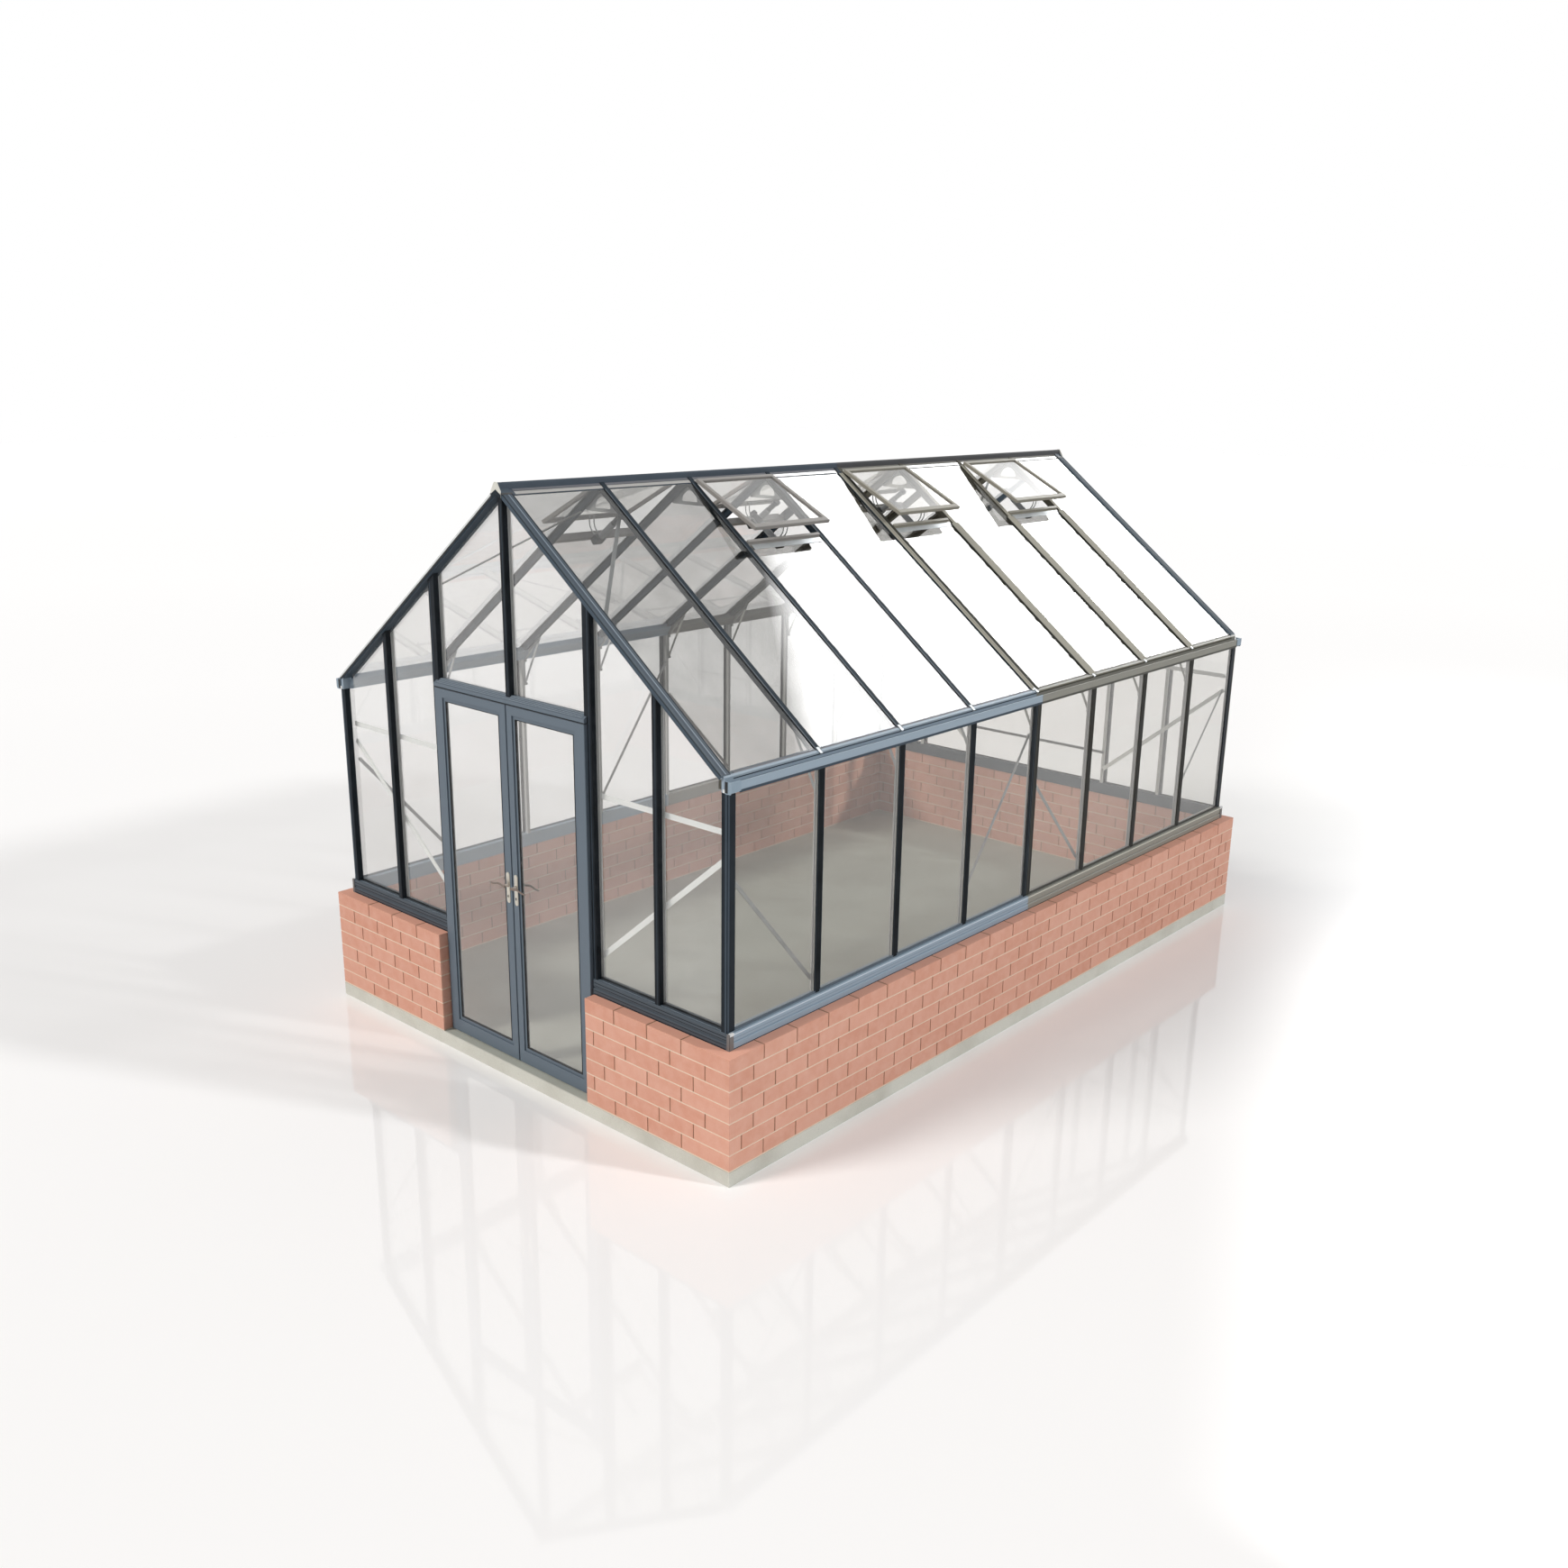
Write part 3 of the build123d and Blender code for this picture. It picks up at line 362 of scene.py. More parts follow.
@dataclass(frozen=True)
class Concrete:
    """Smooth cast concrete, floated on top and struck from a timber form at its edges.

    It has broad damp clouds, a fine sand texture and small air holes.
    """

    name: str = "cast_concrete"
    edge: str = "#cfcfc6"
    floor: str = "#b9bcb2"
    stain: str = "#a3a094"

    def material(self) -> bpy.types.Material:
        """Builds the concrete with clouds, sand and air holes."""
        material, tree = new_material(self.name)
        place = place_of(tree)
        up = add_node(
            tree, "ShaderNodeSeparateXYZ", None, {0: add_node(tree, "ShaderNodeNewGeometry").outputs["Normal"]}
        )
        colour = blend_colours(tree, spread(tree, up.outputs["Z"], (0.6, 0.9)), self.edge, self.floor)
        clouds = noise(tree, place, 420.0, 5.0, 0.6)
        colour = blend_colours(tree, spread(tree, clouds, (0.45, 0.75), (0.0, 0.5)), colour, self.stain)
        sand = noise(tree, place, 5.0, 4.0, 0.7)
        colour = blend_colours(tree, spread(tree, sand, (0.4, 0.7), (0.0, 0.18)), colour, "#86857c")
        # Air holes of 2 to 4 mm, spaced about 40 mm apart
        holes = add_node(
            tree, "ShaderNodeTexVoronoi", {"Scale": 1.0 / (40.0 * MM), "Randomness": 1.0}, {"Vector": place}
        )
        pits = spread(tree, holes.outputs["Distance"], (0.03, 0.07))
        colour = blend_colours(tree, spread(tree, pits, (0.0, 1.0), (0.5, 0.0)), colour, "#77766e")
        settings = {"Roughness": 0.8, "IOR": 1.5, "Specular IOR Level": 0.35}
        links = {"Base Color": colour, "Normal": relief(tree, sand, 0.4, 0.5)}
        close(tree, add_node(tree, "ShaderNodeBsdfPrincipled", settings, links))
        return material


@dataclass(frozen=True)
class FloatGlass:
    """Clear float glass, 3 to 4 mm thick.

    It is fire-polished on both faces, so it mirrors sharply and tints what is behind it a little.
    """

    name: str
    body_tint: str
    light_tint: str
    ior: float = 1.52
    clearness: float = 1.0

    def material(self) -> bpy.types.Material:
        """Builds the glass, which lets lamp light and bounced light straight through."""
        material, tree = new_material(self.name)
        path = add_node(tree, "ShaderNodeLightPath")
        place = place_of(tree)
        # Rain marks and dust dull the face in drifts of about 300 mm
        drift = noise(tree, place, 300.0, 3.0, 0.5)
        tint = blend_colours(tree, spread(tree, drift, (0.3, 0.7), (0.0, 0.3)), self.body_tint, "#f4f4f2")
        settings = {"Roughness": 0.0, "IOR": self.ior, "Transmission Weight": self.clearness}
        pane = add_node(tree, "ShaderNodeBsdfPrincipled", settings, {"Base Color": tint})
        through = add_node(tree, "ShaderNodeBsdfTransparent", {"Color": linear(self.light_tint)})
        lamp_rays = add_node(
            tree,
            "ShaderNodeMath",
            {"operation": "MAXIMUM"},
            {0: path.outputs["Is Shadow Ray"], 1: path.outputs["Is Diffuse Ray"]},
        )
        links = {0: lamp_rays.outputs[0], 1: pane.outputs[0], 2: through.outputs[0]}
        close(tree, add_node(tree, "ShaderNodeMixShader", None, links))
        return material


@dataclass(frozen=True)
class BareMetal:
    """Metal with no paint, rolled, extruded or brushed.

    The fine lines along its length stretch the highlights.
    """

    name: str
    colour: str
    roughness: float
    grain_mm: float = 1.5
    worn: str = "#8f9394"
    toned: str | None = None

    def material(self) -> bpy.types.Material:
        """Builds the metal with its grain."""
        material, tree = new_material(self.name)
        place = place_of(tree)
        clouds = noise(tree, place, 90.0, 3.0, 0.6)
        grain = noise(tree, place, self.grain_mm, 2.0, 0.5)
        shade: bpy.types.NodeSocket | str = self.colour
        if self.toned is not None:
            tone = add_node(tree, "ShaderNodeAttribute", {"attribute_name": "tone"})
            shade = blend_colours(tree, tone.outputs["Fac"], self.colour, self.toned)
        colour = blend_colours(tree, spread(tree, clouds, (0.3, 0.7), (0.0, 0.25)), shade, self.worn)
        shine = spread(tree, clouds, (0.3, 0.7), (self.roughness - 0.06, self.roughness + 0.08))
        links = {"Base Color": colour, "Roughness": shine, "Normal": relief(tree, grain, 0.05, 0.2)}
        close(tree, add_node(tree, "ShaderNodeBsdfPrincipled", {"Metallic": 1.0}, links))
        return material


@dataclass(frozen=True)
class MouldedPlastic:
    """Injection-moulded plastic or extruded rubber.

    The tool leaves a fine, even spark texture with a soft sheen.
    """

    name: str
    colour: str
    roughness: float = 0.5
    upper: str | None = None
    upper_from: float = 2500.0

    def material(self) -> bpy.types.Material:
        """Builds the plastic with its spark texture."""
        material, tree = new_material(self.name)
        place = place_of(tree)
        shade: bpy.types.NodeSocket | str = self.colour
        if self.upper is not None:
            height = add_node(tree, "ShaderNodeSeparateXYZ", None, {0: place}).outputs["Z"]
            above = spread(tree, height, (self.upper_from * MM, self.upper_from * MM + 0.001))
            shade = blend_colours(tree, above, self.colour, self.upper)
        # A real spark texture is about 0.2 mm, and is drawn at 2 mm
        spark = noise(tree, place, 2.0, 2.0, 0.5)
        clouds = noise(tree, place, 70.0, 3.0, 0.5)
        colour = blend_colours(tree, spread(tree, clouds, (0.35, 0.7), (0.0, 0.08)), shade, "#a9adb0")
        settings = {"Roughness": self.roughness, "IOR": 1.46}
        links = {"Base Color": colour, "Normal": relief(tree, spark, 0.1, 0.2)}
        close(tree, add_node(tree, "ShaderNodeBsdfPrincipled", settings, links))
        return material


def prism_faces(count: int) -> list[tuple[int, ...]]:
    """Lists a prism's faces, whose points are one ring and then the other.

    Args:
        count: how many points a ring has.

    Returns:
        The first end, the second end and the sides.
    """
    sides = [(i, (i + 1) % count, count + (i + 1) % count, count + i) for i in range(count)]
    return [tuple(reversed(range(count))), tuple(range(count, 2 * count)), *sides]


def ringed_faces(rings: int, sides: int) -> list[tuple[int, ...]]:
    """Lists the faces of a shape made of rings of points, closed at both ends.

    Args:
        rings: how many rings it has.
        sides: how many points a ring has.

    Returns:
        The first end, the bands between the rings and the last end.
    """
    faces: list[tuple[int, ...]] = [tuple(reversed(range(sides)))]
    for ring in range(rings - 1):
        a, b = ring * sides, (ring + 1) * sides
        faces.extend((a + i, a + (i + 1) % sides, b + (i + 1) % sides, b + i) for i in range(sides))
    last = (rings - 1) * sides
    faces.append(tuple(range(last, last + sides)))
    return faces


@dataclass
class MeshPile:
    """Collects many small solids into one mesh, each with its own tone."""

    verts: list[tuple[float, float, float]] = field(default_factory=list)
    faces: list[tuple[int, ...]] = field(default_factory=list)
    tones: list[float] = field(default_factory=list)
    smooth: list[bool] = field(default_factory=list)

    def add(
        self,
        verts: list[Vector],
        faces: list[tuple[int, ...]],
        tone: float = 0.5,
        smooth: bool = False,
    ) -> None:
        """Adds one solid.

        Args:
            verts: its points, in millimetres.
            faces: its faces, as numbers of those points.
            tone: a value from 0 to 1 that its material can read.
            smooth: whether its faces are shaded smooth.
        """
        base = len(self.verts)
        self.verts.extend((v[0] * MM, v[1] * MM, v[2] * MM) for v in verts)
        self.faces.extend(tuple(base + i for i in face) for face in faces)
        self.tones.extend([tone] * len(verts))
        self.smooth.extend([smooth] * len(faces))

    def upright(
        self, outline: Outline, z_low: float, z_high: float, bevel: float = 0.0, tone: float = 0.5
    ) -> None:
        """Adds an upright prism with rounded edges.

        Args:
            outline: its corners in X and Y, anticlockwise from above.
            z_low: its lower end.
            z_high: its upper end.
            bevel: the width of its rounded edges.
            tone: the tone of the solid.
        """
        low = [Vector((x, y, z_low)) for x, y in outline]
        high = [Vector((x, y, z_high)) for x, y in outline]
        self.add(*rounded(low + high, prism_faces(len(outline)), bevel), tone)

    def block(self, low: Point, high: Point, bevel: float = 0.0, tone: float = 0.5) -> None:
        """Adds an upright block between two corners."""
        outline = [(low[0], low[1]), (high[0], low[1]), (high[0], high[1]), (low[0], high[1])]
        self.upright(outline, low[2], high[2], bevel, tone)

    def bar(
        self, profile: Outline, start: Vector, end: Vector, across: Vector, tone: float = 0.5
    ) -> None:
        """Adds a straight bar with a given section.

        Args:
            profile: the section, as distances across and outwards.
            start: where the bar's axis starts.
            end: where it ends.
            across: the direction of the section's first distance.
            tone: the tone of the solid.
        """
        along = (end - start).normalized()
        across = across.normalized()
        outwards = along.cross(across)
        rings = [origin + across * u + outwards * v for origin in (start, end) for u, v in profile]
        self.add(rings, prism_faces(len(profile)), tone)

    def turned(
        self,
        profile: Outline,
        origin: Vector,
        axis: Vector,
        sides: int,
        tone: float = 0.5,
        smooth: bool = True,
    ) -> None:
        """Adds a turned shape, closed at both ends.

        Args:
            profile: pairs of radius and distance along the axis.
            origin: the start of the axis.
            axis: its direction.
            sides: how many flats the turned shape has.
            tone: the tone of the solid.
            smooth: whether its faces are shaded smooth.
        """
        axis = axis.normalized()
        across = axis.orthogonal().normalized()
        third = axis.cross(across)
        verts = []
        for radius, height in profile:
            for i in range(sides):
                angle = 2 * math.pi * i / sides
                spoke = across * math.cos(angle) + third * math.sin(angle)
                verts.append(origin + axis * height + spoke * radius)
        self.add(verts, ringed_faces(len(profile), sides), tone, smooth)

    def build(
        self, name: str, material: bpy.types.Material, body: Body, slot: Slot
    ) -> bpy.types.Object:
        """Turns the pile into one piece that rides on a body.

        Args:
            name: the piece's name.
            material: its finish.
            body: the body that it rides on.
            slot: the slot of its finish; not used.

        Returns:
            The new object.
        """
        mesh = bpy.data.meshes.new(name)
        mesh.from_pydata(self.verts, [], self.faces)
        mesh.polygons.foreach_set("use_smooth", self.smooth)
        tone = mesh.attributes.new("tone", "FLOAT", "POINT")
        tone.data.foreach_set("value", self.tones)
        mesh.materials.append(material)
        mesh.update()
        piece = bpy.data.objects.new(name, mesh)
        bpy.context.scene.collection.objects.link(piece)
        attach(piece, body.value)
        LOG.info("%s: %d faces on %s", name, len(self.faces), body.value)
        return piece


def rounded(
    verts: list[Vector], faces: list[tuple[int, ...]], bevel: float, segments: int = 2
) -> tuple[list[Vector], list[tuple[int, ...]]]:
    """Rounds every edge of a closed solid.

    Args:
        verts: the solid's points.
        faces: its faces.
        bevel: the width of the rounding, or 0 for none.
        segments: how many steps the rounding has.

    Returns:
        The rounded solid's points and faces.
    """
    if bevel <= 0:
        return verts, faces
    solid = bmesh.new()
    made = [solid.verts.new(v) for v in verts]
    for face in faces:
        solid.faces.new([made[i] for i in face])
    bmesh.ops.bevel(
        solid, geom=list(solid.edges), offset=bevel, segments=segments, profile=0.5, affect="EDGES"
    )
    solid.verts.index_update()
    points = [v.co.copy() for v in solid.verts]
    loops = [tuple(v.index for v in face.verts) for face in solid.faces]
    solid.free()
    return points, loops


@dataclass
class Brickwork:
    """The low wall: seven courses that each step a third of a brick, in mortar."""

    out_x: float = 1584.0
    out_y: float = 2563.0
    thickness: float = 115.0
    return_end: float = 598.0
    base: float = 77.0
    top: float = 647.0
    courses: int = 7
    step: float = 231.5
    bed_joint: float = 6.0
    end_joint: float = 6.5
    arris: float = 1.6
    shortest: float = 56.0
    long_side_first: tuple[float, ...] = (232.0, 161.0, 81.0)
    gable_first: tuple[float, ...] = (312.0, 156.0, 232.0)
    bed_recess: float = 1.2
    end_recess: float = 3.5
    seed: int = 11

    def _joints(self, first: float, length: float, last: float) -> list[float]:
        """Places of the upright joints along a wall.

        Args:
            first: distance of the first joint from the wall's start.
            length: the wall's length.
            last: the least distance of a joint from the wall's far end.

        Returns:
            The distances from the start, with the first joint among them.
        """
        places = [first]
        while places[-1] + self.step < length - last:
            places.append(places[-1] + self.step)
        return places

    def _corner(self, side: float, front: float, sx: int, sy: int) -> Outline:
        """Outline of the brick that turns a corner.

        Args:
            side: its length along the long wall.
            front: its length along the gable wall.
            sx: the corner's sign in X.
            sy: its sign in Y.

        Returns:
            The outline, anticlockwise from above.
        """
        gap = self.end_joint / 2
        inner = self.thickness + (self.end_joint if side < self.thickness else 0.0)
        points = [
            (0.0, 0.0),
            (0.0, side - gap),
            (inner, side - gap),
            (inner, self.thickness),
            (front - gap, self.thickness),
            (front - gap, 0.0),
        ]
        outline = [(sx * (self.out_x - u), sy * (self.out_y - v)) for u, v in points]
        area = sum(
            outline[i - 1][0] * outline[i][1] - outline[i][0] * outline[i - 1][1]
            for i in range(len(outline))
        )
        return outline if area > 0 else outline[::-1]

    def _lay_course(self, pile: MeshPile, number: int, rng: random.Random) -> None:
        """Lays one course all the way round.

        Args:
            pile: where the bricks go.
            number: the course, counted from the top, from 0.
            rng: gives each brick its tone and its small error.
        """
        height = (self.top - self.base) / self.courses
        z_high = self.top - number * height
        z_low = z_high - height + self.bed_joint
        side = self.long_side_first[number % 3]
        front = self.gable_first[number % 3]
        gap = self.end_joint / 2

        def lay(low_x: float, high_x: float, low_y: float, high_y: float) -> None:
            """Lays one straight brick."""
            dip = rng.uniform(0.0, 0.5)
            low = (low_x + dip, low_y + dip, z_low)
            high = (high_x - dip, high_y - dip, z_high - rng.uniform(0.0, 0.4))
            pile.block(low, high, self.arris, rng.random())

        length = 2 * self.out_y
        ends = self._joints(side, length, side + self.shortest) + [length - side]
        for sx in (-1, 1):
            outer, inner = sx * self.out_x, sx * (self.out_x - self.thickness)
            for a, b in zip(ends, ends[1:]):
                lay(min(outer, inner), max(outer, inner), a + gap - self.out_y, b - gap - self.out_y)
            for sy in (-1, 1):
                corner = self._corner(side, front, sx, sy)
                pile.upright(corner, z_low, z_high, self.arris, rng.random())
            stop = self.out_x - self.return_end
            row = self._joints(front, stop, self.shortest) + [stop + gap]
            for a, b in zip(row, row[1:]):
                xs = sorted((sx * (self.out_x - a - gap), sx * (self.out_x - b + gap)))
                lay(xs[0], xs[1], -self.out_y, -self.out_y + self.thickness)
        width = 2 * self.out_x
        back = self._joints(front, width, front + self.shortest) + [width - front]
        for a, b in zip(back, back[1:]):
            lay(
                a + gap - self.out_x,
                b - gap - self.out_x,
                self.out_y - self.thickness,
                self.out_y,
            )

    def _runs(self, recess: float) -> list[tuple[float, float, float, float]]:
        """The five straight walls, drawn in from every face.

        Args:
            recess: how far behind the brick faces they lie.

        Returns:
            Low X, high X, low Y and high Y of each.
        """
        ox, oy, t = self.out_x - recess, self.out_y - recess, self.thickness - 2 * recess
        end = self.return_end + recess
        return [
            (-ox, -ox + t, -oy, oy),
            (ox - t, ox, -oy, oy),
            (-ox + t, ox - t, oy - t, oy),
            (-ox + t, -end, -oy, -oy + t),
            (end, ox - t, -oy, -oy + t),
        ]

    def build(self, brick: bpy.types.Material, bed: bpy.types.Material, core: bpy.types.Material) -> None:
        """Lays the bricks and the mortar, which stand for the plain walls.

        Args:
            brick: the brick's finish.
            bed: the finish of the level joints.
            core: the finish of the upright joints, darkened as painted shade.
        """
        rng = random.Random(self.seed)
        bricks = MeshPile()
        for number in range(self.courses):
            self._lay_course(bricks, number, rng)
        laid = bricks.build("bricks", brick, Body.HOUSE, Slot.BRICK)
        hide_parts("wall_left", "wall_right", "wall_back", "wall_front_left", "wall_front_right")
        beds = MeshPile()
        height = (self.top - self.base) / self.courses
        for number in range(self.courses):
            z = self.base + number * height
            for low_x, high_x, low_y, high_y in self._runs(self.bed_recess):
                beds.block((low_x, low_y, z), (high_x, high_y, z + self.bed_joint))
        beds.build("bed_joints", bed, Body.HOUSE, Slot.BRICK)
        middle = MeshPile()
        for low_x, high_x, low_y, high_y in self._runs(self.end_recess):
            middle.block((low_x, low_y, self.base + 1.0), (high_x, high_y, self.top - 2.0))
        middle.build("mortar_core", core, Body.HOUSE, Slot.BRICK)


class Trim(Enum):
    """Finishes of the thin trims on the frame, among them lines of painted shade and painted highlight."""

    # Black rubber gaskets, and black strips of painted shade on shaded faces and in gaps
    GASKET = MouldedPlastic("rubber_gasket", "#17191b", 0.6)
    CAP = MouldedPlastic("moulded_corner_cap", "#6d6b6a", 0.5)
    PALE_CAP = MouldedPlastic("moulded_pale_cap", "#d5d8d8", 0.45)
    # Dark lines of painted shade in grooves and gaps, and under edges
    GROOVE = PowderCoat("powder_coat_groove", "#20272d", "#33322d", gloss=0.08)
    # Lines of painted shade on light parts, and of painted highlight on dark parts
    LINE = PowderCoat("painted_shade_and_highlight_line", "#38434d", "#4c4b45", gloss=0.12)
    SEAL = PowderCoat("powder_coat_seal", "#5d6770", "#4a4a45", gloss=0.12)
    # Light lines of painted highlight along edges
    EDGE = PowderCoat("painted_highlight_edge", "#7e8c99", "#8a887c", gloss=0.2)
    BRIGHT = PowderCoat("painted_highlight_bright_edge", "#c6d1da", "#cfcdc0", gloss=0.25)
    # Light strips of painted highlight on the ridges of the door head and on the gutter upstands
    COVER = PowderCoat("powder_coat_cover", "#97a3ad", "#7f7c70", 0.6, 0.02)
    OLIVE = PowderCoat("powder_coat_olive", "#a19e92", None, 0.6, 0.02)
    # Dark olive clips, and dark edges of painted shade along the rear bars
    DARK_OLIVE = PowderCoat("dark_olive_coat_and_painted_shade", "#3a3933", None, 0.6, 0.02)
    SLATE = PowderCoat("powder_coat_slate", "#434e58", None, 0.6, 0.02)
    RIDGE_BAND = PowderCoat("powder_coat_ridge_band", "#74757a", "#6f6d66", 0.55, 0.08)
    SHEET = MouldedPlastic("clear_ridge_seal", "#b3b1ad", 0.05)
    FIXING = BareMetal("zinc_plated_fixings", "#b9bcbb", 0.35)
    # Bright faces of painted light on the gable straps
    STRAP = PowderCoat("galvanised_strap", "#e2e5e4", gloss=0.4)
    TUBE = PowderCoat("grey_tube", "#85888a", gloss=0.3)


@dataclass
class TrimSet:
    """Thin trims of one part of the building, built as one piece to a finish."""

    name: str
    coats: dict[Trim, bpy.types.Material]
    body: Body = Body.HOUSE
    piles: dict[Trim, MeshPile] = field(default_factory=dict)

    def pile(self, trim: Trim) -> MeshPile:
        """The pile of one finish, made when it is first asked for."""
        return self.piles.setdefault(trim, MeshPile())

    def block(
        self,
        trim: Trim,
        xs: tuple[float, float],
        ys: tuple[float, float],
        zs: tuple[float, float],
        signs: tuple[int, int] = (1, 1),
        bevel: float = 0.0,
    ) -> None:
        """Adds one block, mirrored to the side and the end that the signs give.

        Args:
            trim: its finish.
            xs: its two X before it is mirrored.
            ys: its two Y before it is mirrored.
            zs: its lower and upper Z.
            signs: 1 or -1 for X and for Y.
            bevel: the width of its rounded edges.
        """
        x_low, x_high = sorted((signs[0] * xs[0], signs[0] * xs[1]))
        y_low, y_high = sorted((signs[1] * ys[0], signs[1] * ys[1]))
        self.pile(trim).block((x_low, y_low, zs[0]), (x_high, y_high, zs[1]), bevel)

    def build(self) -> None:
        """Builds one piece to a finish."""
        slots = {
            Trim.GASKET: Slot.OPENER_BLACK,
            Trim.CAP: Slot.CAP_GREY,
            Trim.PALE_CAP: Slot.CAP_GREY,
            Trim.FIXING: Slot.BARE_ALUMINIUM,
            Trim.STRAP: Slot.BARE_ALUMINIUM,
            Trim.SHEET: Slot.PANE,
        }
        for trim, pile in self.piles.items():
            slot = slots.get(trim, Slot.FRAME_PAINT)
            pile.build(f"{self.name}_{trim.name.lower()}", self.coats[trim], self.body, slot)


@dataclass(frozen=True)
class Slope:
    """One roof slope, where a place is a run down it, a rise off it and a Y."""

    sign: int

    def at(self, run: float, rise: float, y: float) -> Vector:
        """The point at a run down the slope, a rise off it and a Y."""
        x = run * math.cos(PITCH) + rise * math.sin(PITCH)
        return Vector((self.sign * x, y, RIDGE - run * math.sin(PITCH) + rise * math.cos(PITCH)))

    def strip(
        self,
        pile: MeshPile,
        ys: tuple[float, float],
        rises: tuple[float, float],
        runs: tuple[float, float],
    ) -> None:
        """Adds a straight strip on the slope.

        Args:
            pile: where the strip goes.
            ys: its front and rear edge.
            rises: its under and upper face.
            runs: its upper and lower end.
        """
        middle, half = (ys[0] + ys[1]) / 2, abs(ys[1] - ys[0]) / 2
        outline = [(-half, rises[0]), (half, rises[0]), (half, rises[1]), (-half, rises[1])]
        across = Vector((0.0, self.sign, 0.0))
        pile.bar(outline, self.at(runs[0], 0.0, middle), self.at(runs[1], 0.0, middle), across)


def bar_places() -> list[float]:
    """The Y of each glazing bar of the long sides, from front to rear."""
    return [-HALF_LENGTH + BAY * number for number in range(1, 8)]


def roof_height(x: float, rise: float = 0.0) -> float:
    """The height of the roof face at a distance from the ridge line."""
    return RIDGE + rise / math.cos(PITCH) - abs(x) * math.tan(PITCH)


@dataclass
class RoofTrim:
    """Cover strips and gaskets of the roof bars, and lines on the rafters and the ridge."""

    coats: dict[Trim, bpy.types.Material]
    bar_half: float = 15.0
    cover_half: float = 34.0
    cover_rise: float = 2.4
    glass_rise: float = -4.8
    vent_end: float = 562.0
    bar_start: float = 64.0
    bar_end: float = 1862.0
    clip_step: float = 155.0
    clip_length: float = 26.0
    rafter_face: float = 2513.0
    cap_end: float = 46.0
    cap_gap: float = 12.0
    joint_number: int = 3

    def _front_bar(self, trims: TrimSet, slope: Slope, y: float) -> None:
        """Puts a light near edge and two gaskets on a front bar."""
        runs = (self.bar_start, self.bar_end)
        near, far = y - self.bar_half, y + self.bar_half
        slope.strip(trims.pile(Trim.SEAL), (near, near + 4.0), (-0.2, 0.6), runs)
        for low in (near - 2.5, far):
            slope.strip(trims.pile(Trim.GASKET), (low, low + 2.5), (self.glass_rise, -1.5), runs)

    def _rear_bar(self, trims: TrimSet, slope: Slope, y: float) -> None:
        """Puts a broad cover strip with dark edges of painted shade, and clips, on a rear bar."""
        upper, lower = (self.bar_start, self.vent_end), (self.vent_end, self.bar_end)
        near, far = y - self.cover_half, y + self.cover_half - 2.0
        slope.strip(trims.pile(Trim.OLIVE), (y - self.bar_half, y + self.bar_half), (-0.2, 1.8), upper)
        slope.strip(trims.pile(Trim.OLIVE), (near, far), (self.glass_rise, self.cover_rise), lower)
        for low, high in ((near - 7.0, near), (far, far + 5.0)):
            slope.strip(trims.pile(Trim.DARK_OLIVE), (low, high), (self.glass_rise, 1.0), lower)
        run = self.vent_end + 40.0
        while run < self.bar_end - 60.0:
            runs = (run, run + self.clip_length)
            slope.strip(trims.pile(Trim.DARK_OLIVE), (near - 12.0, near - 3.0), (self.glass_rise, 2.8), runs)
            run += self.clip_step

    def _joint_bar(self, trims: TrimSet, slope: Slope, y: float) -> None:
        """Puts pale and dark strips and a pale foot on the bar that covers the joint."""
        whole, foot = (self.bar_start, self.bar_end), (self.bar_end - 10.0, self.bar_end)
        strips = (
            (Trim.OLIVE, (-31.0, -13.0), (-0.2, 1.8), whole),
            (Trim.OLIVE, (-9.0, 5.0), (-0.2, 1.8), whole),
            (Trim.DARK_OLIVE, (-13.0, -9.0), (-0.2, 0.6), whole),
            (Trim.DARK_OLIVE, (5.0, 31.5), (-0.2, 2.4), whole),
            (Trim.PALE_CAP, (-28.0, 2.0), (1.8, 2.6), foot),
        )
        for trim, (low, high), rises, runs in strips:
            slope.strip(trims.pile(trim), (y + low, y + high), rises, runs)

    def _rafter(self, trims: TrimSet, slope: Slope, end: int) -> None:
        """Draws the lines of painted shade and painted highlight on a front rafter, or the dark cover of a rear one,
        and its leg.
        """
        runs = (self.cap_end + self.cap_gap, self.bar_end - 6.0)
        front = (
            (Trim.GROOVE, 0.5, 5.0, 0.4),
            (Trim.LINE, 22.0, 26.0, 0.6),
            (Trim.EDGE, 34.0, 39.0, 0.6),
            (Trim.GROOVE, 55.0, 63.0, 0.4),
        )
        rear = ((Trim.SLATE, 30.0, 64.0, 0.9), (Trim.GROOVE, 23.0, 30.0, 0.7), (Trim.SLATE, 0.0, 23.0, 0.9))
        for trim, near, far, rise in front if end < 0 else rear:
            low, high = sorted((end * (self.rafter_face - near), end * (self.rafter_face - far)))
            slope.strip(trims.pile(trim), (low, high), (-3.0, rise), runs)
        if slope.sign < 0:
            low, high = sorted((end * self.rafter_face, end * (self.rafter_face + 0.8)))
            slope.strip(trims.pile(Trim.PALE_CAP), (low, high), (-9.0, 0.3), runs)
            slope.strip(trims.pile(Trim.GASKET), (low, high), (-19.5, -9.0), runs)
        low, high = sorted((end * (self.rafter_face - 63.0), end * (self.rafter_face + 1.0)))
        slope.strip(trims.pile(Trim.GASKET), (low, high), (-3.0, 1.0), (self.cap_end, runs[0]))

